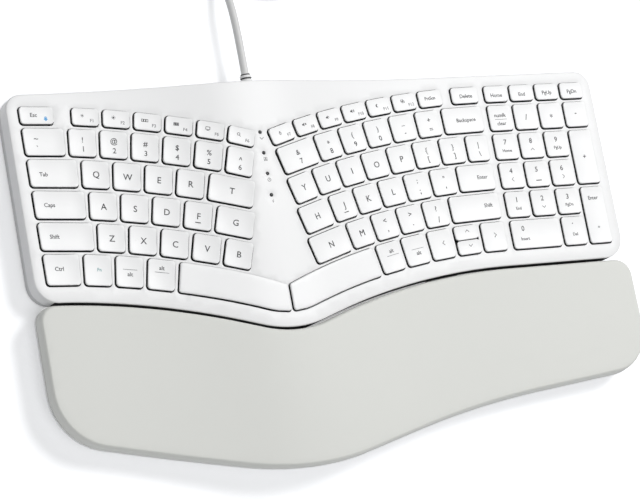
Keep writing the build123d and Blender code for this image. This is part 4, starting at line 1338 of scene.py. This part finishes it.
def corner_arc(before, corner, after, radius, steps=8):
    """Points of the arc that rounds a corner."""
    way_in = (corner - before).normalized()
    way_out = (after - corner).normalized()
    turn = way_in.angle_signed(way_out)
    side = 1 if way_in.cross(way_out) > 0 else -1
    cut = radius * tan(abs(turn) / 2)
    start = corner - way_in * cut
    centre = start + Vector((-way_in.y, way_in.x)) * side * radius
    arm = start - centre
    points = []
    for step in range(steps + 1):
        angle = side * abs(turn) * step / steps
        points.append(
            centre
            + Vector(
                (arm.x * cos(angle) - arm.y * sin(angle), arm.x * sin(angle) + arm.y * cos(angle))
            )
        )
    return points


def evened(points):
    """A closed outline with its long stretches cut into even runs."""
    result = []
    for n, here in enumerate(points):
        after = points[(n + 1) % len(points)]
        runs = max(round((after - here).length / outline_run), 1)
        result += [here.lerp(after, step / runs) for step in range(runs)]
    return result


def front_run(left, right, out=0.0):
    """Points along the front edge from left to right."""
    runs = round((right - left) / outline_run)
    return [
        Vector((x, front_y(x, out)))
        for x in (left + (right - left) * step / runs for step in range(runs + 1))
    ]


def case_outline():
    """The body's plan, anticlockwise from its front left corner."""
    corners = [
        Vector((-case_half_width, front_y(-case_half_width))),
        Vector((case_half_width, front_y(case_half_width))),
        Vector((case_half_width, case_rear)),
        Vector((-case_half_width, case_rear)),
    ]
    along_front = front_run(
        -case_half_width + front_corner + outline_run, case_half_width - front_corner - outline_run
    )
    return evened(
        corner_arc(corners[3], corners[0], along_front[0], front_corner)
        + along_front
        + corner_arc(along_front[-1], corners[1], corners[2], front_corner)
        + corner_arc(corners[1], corners[2], corners[3], rear_corner)
        + corner_arc(corners[2], corners[3], corners[0], rear_corner)
    )


def moved_in(points, amount):
    """A closed anticlockwise outline moved inwards."""
    result = []
    for n, here in enumerate(points):
        way_in = (here - points[n - 1]).normalized()
        way_out = (points[(n + 1) % len(points)] - here).normalized()
        first = Vector((-way_in.y, way_in.x))
        last = Vector((-way_out.y, way_out.x))
        result.append(here + (first + last) / (1 + first.dot(last)) * amount)
    return result


# %% A shell builder: loops that are joined by walls, and sheets that fill a loop round its holes
# No inner point of a sheet lies nearer to a loop than this share of the spacing
least_share = 0.55
same_place = 1e-6


class Shell:
    """A mesh that grows loop by loop. Points are in millimetres."""

    def __init__(self):
        self.points = []
        self.faces = []
        # Faces that take the dark second finish: painted shade
        self.painted_shade = []

    def loop(self, places):
        """Add a closed loop of (x, y, z) points and return their numbers."""
        first = len(self.points)
        self.points += [tuple(place) for place in places]
        return list(range(first, len(self.points)))

    def wall(self, upper, lower, painted_shade=False):
        """Faces between two loops of as many points; outwards is to the right of the loop's way."""
        count = len(upper)
        if painted_shade:
            self.painted_shade += range(len(self.faces), len(self.faces) + count)
        for n in range(count):
            after = (n + 1) % count
            self.faces.append((upper[n], lower[n], lower[after], upper[after]))

    def sheet(self, outline, holes, spacing, height, underside=False):
        """Triangles that fill an outline round its holes, facing up or down."""
        loops = [outline, *holes]
        flat = [Vector(self.points[number][:2]) for loop in loops for number in loop]
        numbers = [number for loop in loops for number in loop]
        near = KDTree(len(flat))
        for n, place in enumerate(flat):
            near.insert((*place, 0), n)
        near.balance()
        xs = [place.x for place in flat]
        ys = [place.y for place in flat]
        columns = ceil((max(xs) - min(xs)) / spacing)
        rows = ceil((max(ys) - min(ys)) / spacing)
        inner = []
        for row in range(rows + 1):
            for column in range(columns + 1):
                shift = 0.5 * (row % 2)
                x = min(xs) + (column + shift) * spacing
                y = min(ys) + row * spacing
                if near.find((x, y, 0))[2] > spacing * least_share:
                    inner.append(Vector((x, y)))
        rims = []
        start = 0
        for loop in loops:
            rims.append(list(range(start, start + len(loop))))
            start += len(loop)
        inside_with_holes = 2
        places, _, triangles, came_from, _, _ = delaunay_2d_cdt(
            flat + inner, [], rims, inside_with_holes, same_place
        )
        own = {}
        for n, sources in enumerate(came_from):
            if sources and sources[0] < len(flat):
                own[n] = numbers[sources[0]]
            else:
                own[n] = len(self.points)
                self.points.append((*places[n], height(*places[n])))
        for triangle in triangles:
            a, b, c = (places[n] for n in triangle)
            if (b - a).cross(c - a) < 0:
                triangle = triangle[::-1]
            face = [own[n] for n in triangle]
            self.faces.append(face[::-1] if underside else face)

    def mesh(self, name, *finishes):
        """The finished mesh, in metres; walls with painted shade take the second finish."""
        made = bpy.data.meshes.new(name)
        made.from_pydata(in_metres(self.points), [], self.faces)
        for material in finishes:
            made.materials.append(material)
        for number in self.painted_shade:
            made.polygons[number].material_index = 1
        return made


def deck_z(x, y=0.0):
    return deck_height + deck_rise(x)


def on_deck(points, below=0.0):
    """Outline points at the deck's height, or some way below it."""
    return [(p.x, p.y, deck_z(p.x) - below) for p in points]


# %% [markdown]
# ## The deck
#
# The top shell has 98 wells and two long ones for the space bars. Each well has a rolled lip, so
# its edge catches a thin line of light. Boolean modifiers could cut them, but so many cuts are slow
# and leave long thin faces. Instead every lip is a few loops of points, and the skin between them
# is one constrained triangulation that follows the dome.

# %% Wells, lips and the rolled outer edge
deck_grid = 4.0
deck_thickness = 2.2
lip_radius = 0.2
well_gap = 0.42
well_shift = Vector((-0.24, -0.26))
outer_roll = 0.9
roll_steps = 4
lip_steps = 2
painted_shade_end = 6.0
case_wall = 2.0
parting_height = 8.5
light_rows = (45.8, 59.0, 71.8, 84.6)
light_hole = 1.14
light_hole_steps = 12
space_margin = 9.9
bar_corner = 1.6
bar_well_extra = 0.1
bar_steps = 16
settling_rounds = 6
slope_step = 1.0
shared_well = ("arrow_up_key", "arrow_down_key")
space_split_gap = 1.8
bar_starts = {
    "left_space_bar": (-1, left_starts["space"] + 3 * key_pitch),
    "right_space_bar": (1, right_ends["space"] + key_gap + 4 * key_pitch),
}


# %% Plans of the wells and of the space bars
def bar_outline(name, grow=0.0):
    """Plan of a space bar: the body's front line before it, its row's rear arc behind it."""
    side, start = bar_starts[name]
    front, depth = key_rows["space"]
    outer, _, back = row_frame(side, "space", start)
    rear_radius = front + depth - arc_centre_y
    centre = Vector((split_x + side * apex_reach, arc_centre_y))
    inner_x = split_x + side * space_split_gap / 2

    def front_at(x):
        return Vector((x, front_y(x, -space_margin / cos(front_slope(x)))))

    def rear_at(x):
        return Vector((x, centre.y + sqrt(rear_radius**2 - (x - centre.x) ** 2)))

    outer_rear = outer + back * depth
    outer_front = outer
    for _ in range(settling_rounds):
        outer_front = outer_front + back * (front_at(outer_front.x).y - outer_front.y)
    fronts, rears = [], []
    for n in range(bar_steps + 1):
        fronts.append(front_at(outer_front.x + (inner_x - outer_front.x) * n / bar_steps))
        rears.append(rear_at(inner_x + (outer_rear.x - inner_x) * n / bar_steps))
    around = [
        *corner_arc(rears[-1], outer_front, fronts[2], bar_corner, corner_steps),
        *fronts[2:-2],
        *corner_arc(fronts[-2], fronts[-1], rears[0], bar_corner, corner_steps),
        *corner_arc(fronts[-1], rears[0], rears[2], bar_corner, corner_steps),
        *rears[2:-2],
        *corner_arc(rears[-2], rears[-1], outer_front, bar_corner, corner_steps),
    ]
    if side > 0:
        around = around[::-1]
    return moved_in(around, -grow)


def front_slope(x):
    """Slope of the front edge at x, in radians."""
    rise = front_y(x + slope_step / 2) - front_y(x - slope_step / 2)
    return abs(atan2(rise, slope_step))


def bar_well(name, grow):
    """A space bar's well, which leaves a wider gap at the front than behind the bar."""
    return [point + well_shift for point in bar_outline(name, grow + bar_well_extra)]


def well_outline(cap, grow):
    """A well's loop in plan, from the cap's own tilted frame."""
    flare = (cap_height + skirt_depth) * cap_draft
    loop = rounded_loop(cap.corners, flare + grow, corner_radius + flare + grow)
    loop = [point + well_shift for point in loop]
    places = [cap.place(p.x, p.y, 0.0) / mm for p in loop]
    return [Vector((place.x, place.y)) for place in places]


# %% The deck's mesh
def rolled(radius, steps):
    """The steps of a rolled edge: how far each loop lies inside the edge and below the top."""
    turns = [pi / 2 * step / steps for step in range(steps + 1)]
    return [(radius * (1 - sin(turn)), radius * (1 - cos(turn))) for turn in turns]


def deck_mesh():
    """The top shell: a rolled outer edge, a wall, a lip round every hole, and a skin above and below."""
    shell = Shell()
    outline = case_outline()
    rings = []
    for inward, drop in rolled(outer_roll, roll_steps):
        rings.append(shell.loop(on_deck(moved_in(outline, inward), drop)))
    rings.append(shell.loop([(p.x, p.y, parting_height) for p in outline]))
    inside = moved_in(outline, case_wall)
    rings.append(shell.loop([(p.x, p.y, parting_height) for p in inside]))
    rings.append(shell.loop(on_deck(inside, deck_thickness)))
    for upper, lower in zip(rings, rings[1:]):
        shell.wall(upper, lower)
    # Painted shade: the wall behind the palm rest, short of the ends, takes the dark finish for the
    # seam's shade
    painted_shade_reach = case_half_width - painted_shade_end
    painted_seam_shade = [p.y < case_front and abs(p.x) < painted_shade_reach for p in outline]
    wall_faces = range(roll_steps * len(outline), (roll_steps + 1) * len(outline))
    shell.painted_shade += [number for number, in_painted_seam in zip(wall_faces, painted_seam_shade) if in_painted_seam]

    welled = [cap for name, group in cap_frames.items() if name not in shared_well for cap in group]
    welled.append(Cap(vertical_arrows))
    wells = [lambda grow, cap=cap: well_outline(cap, well_gap + grow) for cap in welled]
    wells += [lambda grow, name=name: bar_well(name, well_gap + grow) for name in bar_starts]
    wells += [lambda grow, y=y: disc(split_x, y, light_hole + grow, light_hole_steps) for y in light_rows]
    top_holes, low_holes = [], []
    for well in wells:
        rows = [*rolled(lip_radius, lip_steps), (0.0, deck_thickness)]
        lips = [shell.loop(on_deck(well(outward), drop)) for outward, drop in rows]
        # Painted shade: the lowest wall of each well takes the dark finish for the shade in the gap round
        # its cap
        for step, (upper, lower) in enumerate(zip(lips, lips[1:])):
            shell.wall(lower, upper, painted_shade=step == lip_steps)
        top_holes.append(lips[0])
        low_holes.append(lips[-1])
    shell.sheet(rings[0], top_holes, deck_grid, deck_z)
    shell.sheet(rings[-1], low_holes, deck_grid * 2, lambda x, y: deck_z(x) - deck_thickness, True)
    return shell.mesh("deck", deck_white, painted_gap_shade)


deck = finished("deck", deck_mesh(), crease=50.0)
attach(deck, "body")
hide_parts("top_housing")
print("deck faces", len(deck.data.polygons))

# %% [markdown]
# ## Light windows and the strain relief
#
# Each indicator is a dark window in the deck. All four are one turned moulding, so a tree sets a
# copy on every point it is given. The strain relief is turned too: a rubber sleeve whose rings
# let it bend with the cable. Its grooves are deep and narrow, and their walls and floors are
# painted near-black as painted shade.


# %% Turned pieces and the tree that repeats one
def turned_mesh(name, profile, finishes, steps=32):
    """A closed mesh turned round z from rows of radius, height and the finish of the wall above."""
    points = [(0.0, 0.0, profile[0][1])]
    faces = []
    marks = []
    for radius, height, _ in profile:
        points += [(p.x, p.y, height) for p in disc(0, 0, radius, steps)]
    points.append((0.0, 0.0, profile[-1][1]))
    for row in range(len(profile) - 1):
        low = 1 + row * steps
        high = low + steps
        for n in range(steps):
            after = (n + 1) % steps
            faces.append((low + n, low + after, high + after, high + n))
            marks.append(profile[row][2])
    last = len(points) - 1
    for n in range(steps):
        after = (n + 1) % steps
        faces.append((0, 1 + after, 1 + n))
        faces.append((last, last - steps + n, last - steps + after))
        marks += [profile[0][2], profile[-1][2]]
    made = bpy.data.meshes.new(name)
    made.from_pydata(in_metres(points), [], faces)
    for material in finishes:
        made.materials.append(material)
    made.polygons.foreach_set("material_index", marks)
    return made


def spots_tree():
    """Sets a copy of one piece on every point of another mesh."""
    recipe, value = new_tree(
        "piece_on_spots", "Pieces", {"Spots": "Object", "Piece": "Object", "Finish": "Material"}
    )
    real = on_points(
        recipe, shape_of(recipe, value["Spots"]), Instance=shape_of(recipe, value["Piece"])
    )
    dressed = recipe.add(
        "GeometryNodeSetMaterial", inputs={"Geometry": real, "Material": value["Finish"]}
    )
    recipe.node("NodeGroupOutput", inputs={"Pieces": dressed})
    return recipe.tree


one_on_each = spots_tree()


def repeated(name, mesh, spots, finish):
    """One mesh with a copy of a piece on every spot, given in millimetres."""
    spot_mesh = bpy.data.meshes.new("spots")
    spot_mesh.from_pydata(in_metres(spots), [], [])
    helpers = [linked("spots", spot_mesh), linked("pattern", mesh)]
    made = run_tree(one_on_each, name, {"Spots": helpers[0], "Piece": helpers[1], "Finish": finish})
    for helper in helpers:
        bpy.data.objects.remove(helper)
    return made


# %% The light windows
window_radius = 1.1
window_depth = 0.9
window_rise = 0.25
window_profile = [
    (window_radius, -window_depth, 0),
    (window_radius, 0.0, 0),
    (window_radius * 0.75, window_rise * 0.7, 0),
    (window_radius * 0.4, window_rise, 0),
]
window_pattern = turned_mesh("light_window", window_profile, [lens_dark], 24)
window_spots = [(split_x, y, deck_z(split_x)) for y in light_rows]
light_windows = finished(
    "light_windows", repeated("light_windows", window_pattern, window_spots, lens_dark)
)
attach(light_windows, "body")
print("light windows", len(window_spots))

# %% The strain relief
relief_x = -42.6
relief_z = 14.5
relief_flange = (4.6, 1.3)
relief_neck = 3.4
relief_radius = 3.9
relief_taper = 0.055
ring_width = 1.5
groove_width = 1.0
groove_depth = 0.75
ring_count = 3
ring_edge = 0.15
relief_reach = 10.4
cable_stub = 2.37
collar_length = 0.2
collar_step = 0.25
stub_overlap = 0.05
first_ring = 0.1
flange_front = -case_wall - first_ring
relief_profile = [
    (relief_flange[0], flange_front - relief_flange[1], 0),
    (relief_flange[0], flange_front, 0),
    (relief_neck, flange_front, 0),
    (relief_neck, first_ring, 0),
]
# Painted shade: the walls and floor of each groove take finish 1, the dark one
for ring_number in range(ring_count):
    near = first_ring + ring_number * (ring_width + groove_width)
    far = near + ring_width
    radius = relief_radius - near * relief_taper
    relief_profile += [
        (radius - ring_edge, near, 0),
        (radius, near + ring_edge, 0),
        (radius, far - ring_edge, 0),
        (radius - ring_edge, far, 1),
        (radius - groove_depth, far, 1),
        (radius - groove_depth, far + groove_width, 1),
    ]
relief_profile[-1] = (*relief_profile[-1][:2], 0)
collar_end = relief_profile[-1][1] + collar_length
relief_profile += [
    (relief_radius - groove_depth - collar_step, collar_end, 2),
    (cable_stub, collar_end, 2),
    (cable_stub, relief_reach + stub_overlap, 2),
]
relief_mesh = turned_mesh(
    "strain_relief_sleeve", relief_profile, [relief_grey, groove_painted_shade, jacket_grey]
)
for vertex in relief_mesh.vertices:
    across, up, along = vertex.co / mm
    vertex.co = Vector((relief_x - across, case_rear + along, relief_z + up)) * mm
relief_sleeve = finished("strain_relief_sleeve", relief_mesh)
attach(relief_sleeve, "body")
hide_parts("strain_relief")
print("relief faces", len(relief_mesh.polygons))

# %% The signs beside the indicator lights
icon_x = split_x + 0.4
icon_drop = 3.9
icon_sizes = {"bolt": 1.0, "dial": 1.15, "boxed_letter": 1.05, "down": 1.1}


def under_light(row_y):
    """The rule that lays a sign on the deck before its light."""

    def place(right, back, up):
        x = icon_x + right
        return Vector((x, row_y - icon_drop + back, deck_z(x) + ink_lift + up)) * mm

    return place


icon_prints = [
    laid(solid_of(icon, size), under_light(y), ink_dark)
    for (icon, size), y in zip(icon_sizes.items(), light_rows)
]
light_signs = finished("indicator_signs", joined("indicator_signs", icon_prints))
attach(light_signs, "body")
print("indicator signs", len(icon_prints))

# %% [markdown]
# ## Space bars
#
# The two bars fill the lowest row up to the split. On the real keyboard they are long thin
# mouldings that bend with the dome, with a broad roll at the front for the thumbs. They are built
# like the deck: loops for the rolled edge and the skirt, and a filled sheet for the top.

# %% Two bars
bar_roll = 0.8
bar_grid = 3.0


def bar_mesh(name):
    """One space bar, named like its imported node."""
    shell = Shell()
    rows = [(-inward, drop - cap_height) for inward, drop in rolled(bar_roll, roll_steps)]
    rows += [(0.0, -painted_shade_line), (0.0, skirt_depth)]
    rows += [(-cap_wall, skirt_depth), (-cap_wall, cap_top - cap_height)]
    rings = [shell.loop(on_deck(bar_outline(name, grow), below)) for grow, below in rows]
    # Painted shade: below the painted-shade line the skirt and the inside take the dark finish
    for step, (upper, lower) in enumerate(zip(rings, rings[1:])):
        shell.wall(upper, lower, painted_shade=step > roll_steps)
    shell.sheet(rings[0], [], bar_grid, lambda x, y: deck_z(x) + cap_height)
    shell.sheet(rings[-1], [], bar_grid * 2, lambda x, y: deck_z(x) + cap_height - cap_top, True)
    return shell.mesh(f"{name}_cap", cap_white, painted_gap_shade)


for name in bar_starts:
    bar = finished(f"{name}_cap", bar_mesh(name), crease=50.0)
    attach(bar, name)
    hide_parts(name)

# %% [markdown]
# ## The palm rest's cover
#
# The pad is foam under a smooth skin that is drawn down to the base. Cloth simulation would do,
# but a pressed foam pad keeps a known form: a long crown from back to front, a soft roll at the
# edge, and a faint unevenness where the foam gives. That is a height field over the outline.

# %% The palm rest's outline and its padded height
palm_half_width = 204.0
palm_gap = 1.2
palm_left_y = -86.6
palm_right_y = -78.0
palm_sweep = (75.7, -90.4)
palm_nose = (-50.0, -122.3)
palm_radii = {"rear": 11.0, "left": 36.0, "nose": 170.0, "sweep": 590.0, "right": 28.0}
pad_seat = -4.2
pad_foot = 0.4
pad_foot_inset = 1.0
pad_fullness = 0.9
pad_crown = ((20.0, 2.2), (-30.0, 2.9), (-75.0, 2.9), (-125.0, 0.6))
pad_inset = 0.3
pad_roll = 2.2
pad_steps = 9
pad_grid = 3.2
foam_wave = 0.06
foam_width = 23.0
foam_depth = 19.0
foam_bend = 17.0
foam_slant = 41.0
foam_swing = 1.3


def palm_outline():
    """The palm rest's plan, anticlockwise from its front left corner."""
    half = palm_half_width
    left = Vector((-half, palm_left_y))
    nose = Vector(palm_nose)
    sweep = Vector(palm_sweep)
    right = Vector((half, palm_right_y))
    rear_out = palm_gap
    rear_right = Vector((half, front_y(half, rear_out)))
    rear_left = Vector((-half, front_y(-half, rear_out)))
    inner = palm_radii["rear"] + outline_run
    along_rear = front_run(-half + inner, half - inner, rear_out)[::-1]
    return evened(
        corner_arc(rear_left, left, nose, palm_radii["left"], 12)
        + corner_arc(left, nose, sweep, palm_radii["nose"], 12)
        + corner_arc(nose, sweep, right, palm_radii["sweep"], 16)
        + corner_arc(sweep, right, rear_right, palm_radii["right"], 12)
        + corner_arc(right, rear_right, along_rear[0], palm_radii["rear"])
        + along_rear
        + corner_arc(along_rear[-1], rear_left, left, palm_radii["rear"])
    )


def crown_at(y):
    """The pad's crown over the deck's curve: one cubic through the four sections."""
    total = 0.0
    for n, (place, crown) in enumerate(pad_crown):
        share = crown
        for other, (elsewhere, _) in enumerate(pad_crown):
            if other != n:
                share *= (y - elsewhere) / (place - elsewhere)
        total += share
    return total


def pad_height(x, y):
    """The pad's top, with the faint waves of pressed foam."""
    wave = sin(x / foam_width + foam_swing * sin(y / foam_bend)) + sin(y / foam_depth + x / foam_slant)
    return deck_z(x) + crown_at(y) + foam_wave * wave


# %% The padded cover
def pad_mesh():
    """The cover as loops from the seat up over the rolled edge, with a sheet above and below."""
    shell = Shell()
    outline = moved_in(palm_outline(), pad_inset)
    rings = [shell.loop(on_deck(moved_in(outline, pad_foot_inset), -pad_seat))]
    for step in range(pad_steps + 1):
        angle = pi / 2 * step / pad_steps
        loop = moved_in(outline, pad_roll * (1 - cos(angle)))
        places = []
        for p in loop:
            base = deck_z(p.x) + pad_seat + pad_foot
            rise = (pad_height(p.x, p.y) - base) * sin(angle) ** pad_fullness
            places.append((p.x, p.y, base + rise))
        rings.append(shell.loop(places))
    for lower, upper in zip(rings, rings[1:]):
        shell.wall(upper, lower)
    shell.sheet(rings[-1], [], pad_grid, pad_height)
    shell.sheet(rings[0], [], pad_grid * 3, lambda x, y: deck_z(x) + pad_seat, True)
    return shell.mesh("palm_cover", pad_skin)


palm_cover = finished("palm_cover", pad_mesh(), crease=60.0)
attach(palm_cover, "body")
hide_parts("palm_rest_pad")
print("pad faces", len(palm_cover.data.polygons))

# %% [markdown]
# ## The imported parts and the cord
#
# What stays as it was packed, such as the tray, the plates and the plug, only gets its finish. The
# cable is drawn here, so it takes the place of the imported one and gets its jacket finish.

# %% Finishes of the imported parts
node_finishes = {
    "bottom_housing": tray_painted_shade,
    "palm_rest_base": rim_white,
    "left_key_plate": plate_steel,
    "right_key_plate": plate_steel,
    "left_membrane": film_print,
    "right_membrane": film_print,
    "left_dome_sheet": dome_silicone,
    "right_dome_sheet": dome_silicone,
    "controller_board": board_green,
    "indicator_lenses": lens_dark,
    "palm_rest_feet": foot_rubber,
    "housing_pads": foot_rubber,
    "case_screws": screw_steel,
    "left_tilt_foot": tray_painted_shade,
    "right_tilt_foot": tray_painted_shade,
    "strain_relief": relief_grey,
    "usb_plug_body": plug_grey,
    "usb_plug_shell": shell_metal,
}
for name, material in node_finishes.items():
    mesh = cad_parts[name].data
    mesh.materials.clear()
    mesh.materials.append(material)

# %% The cable as a cord
cable_curve.materials.append(jacket_grey)
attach(cable, "body")
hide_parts("cable", "cable_coil")
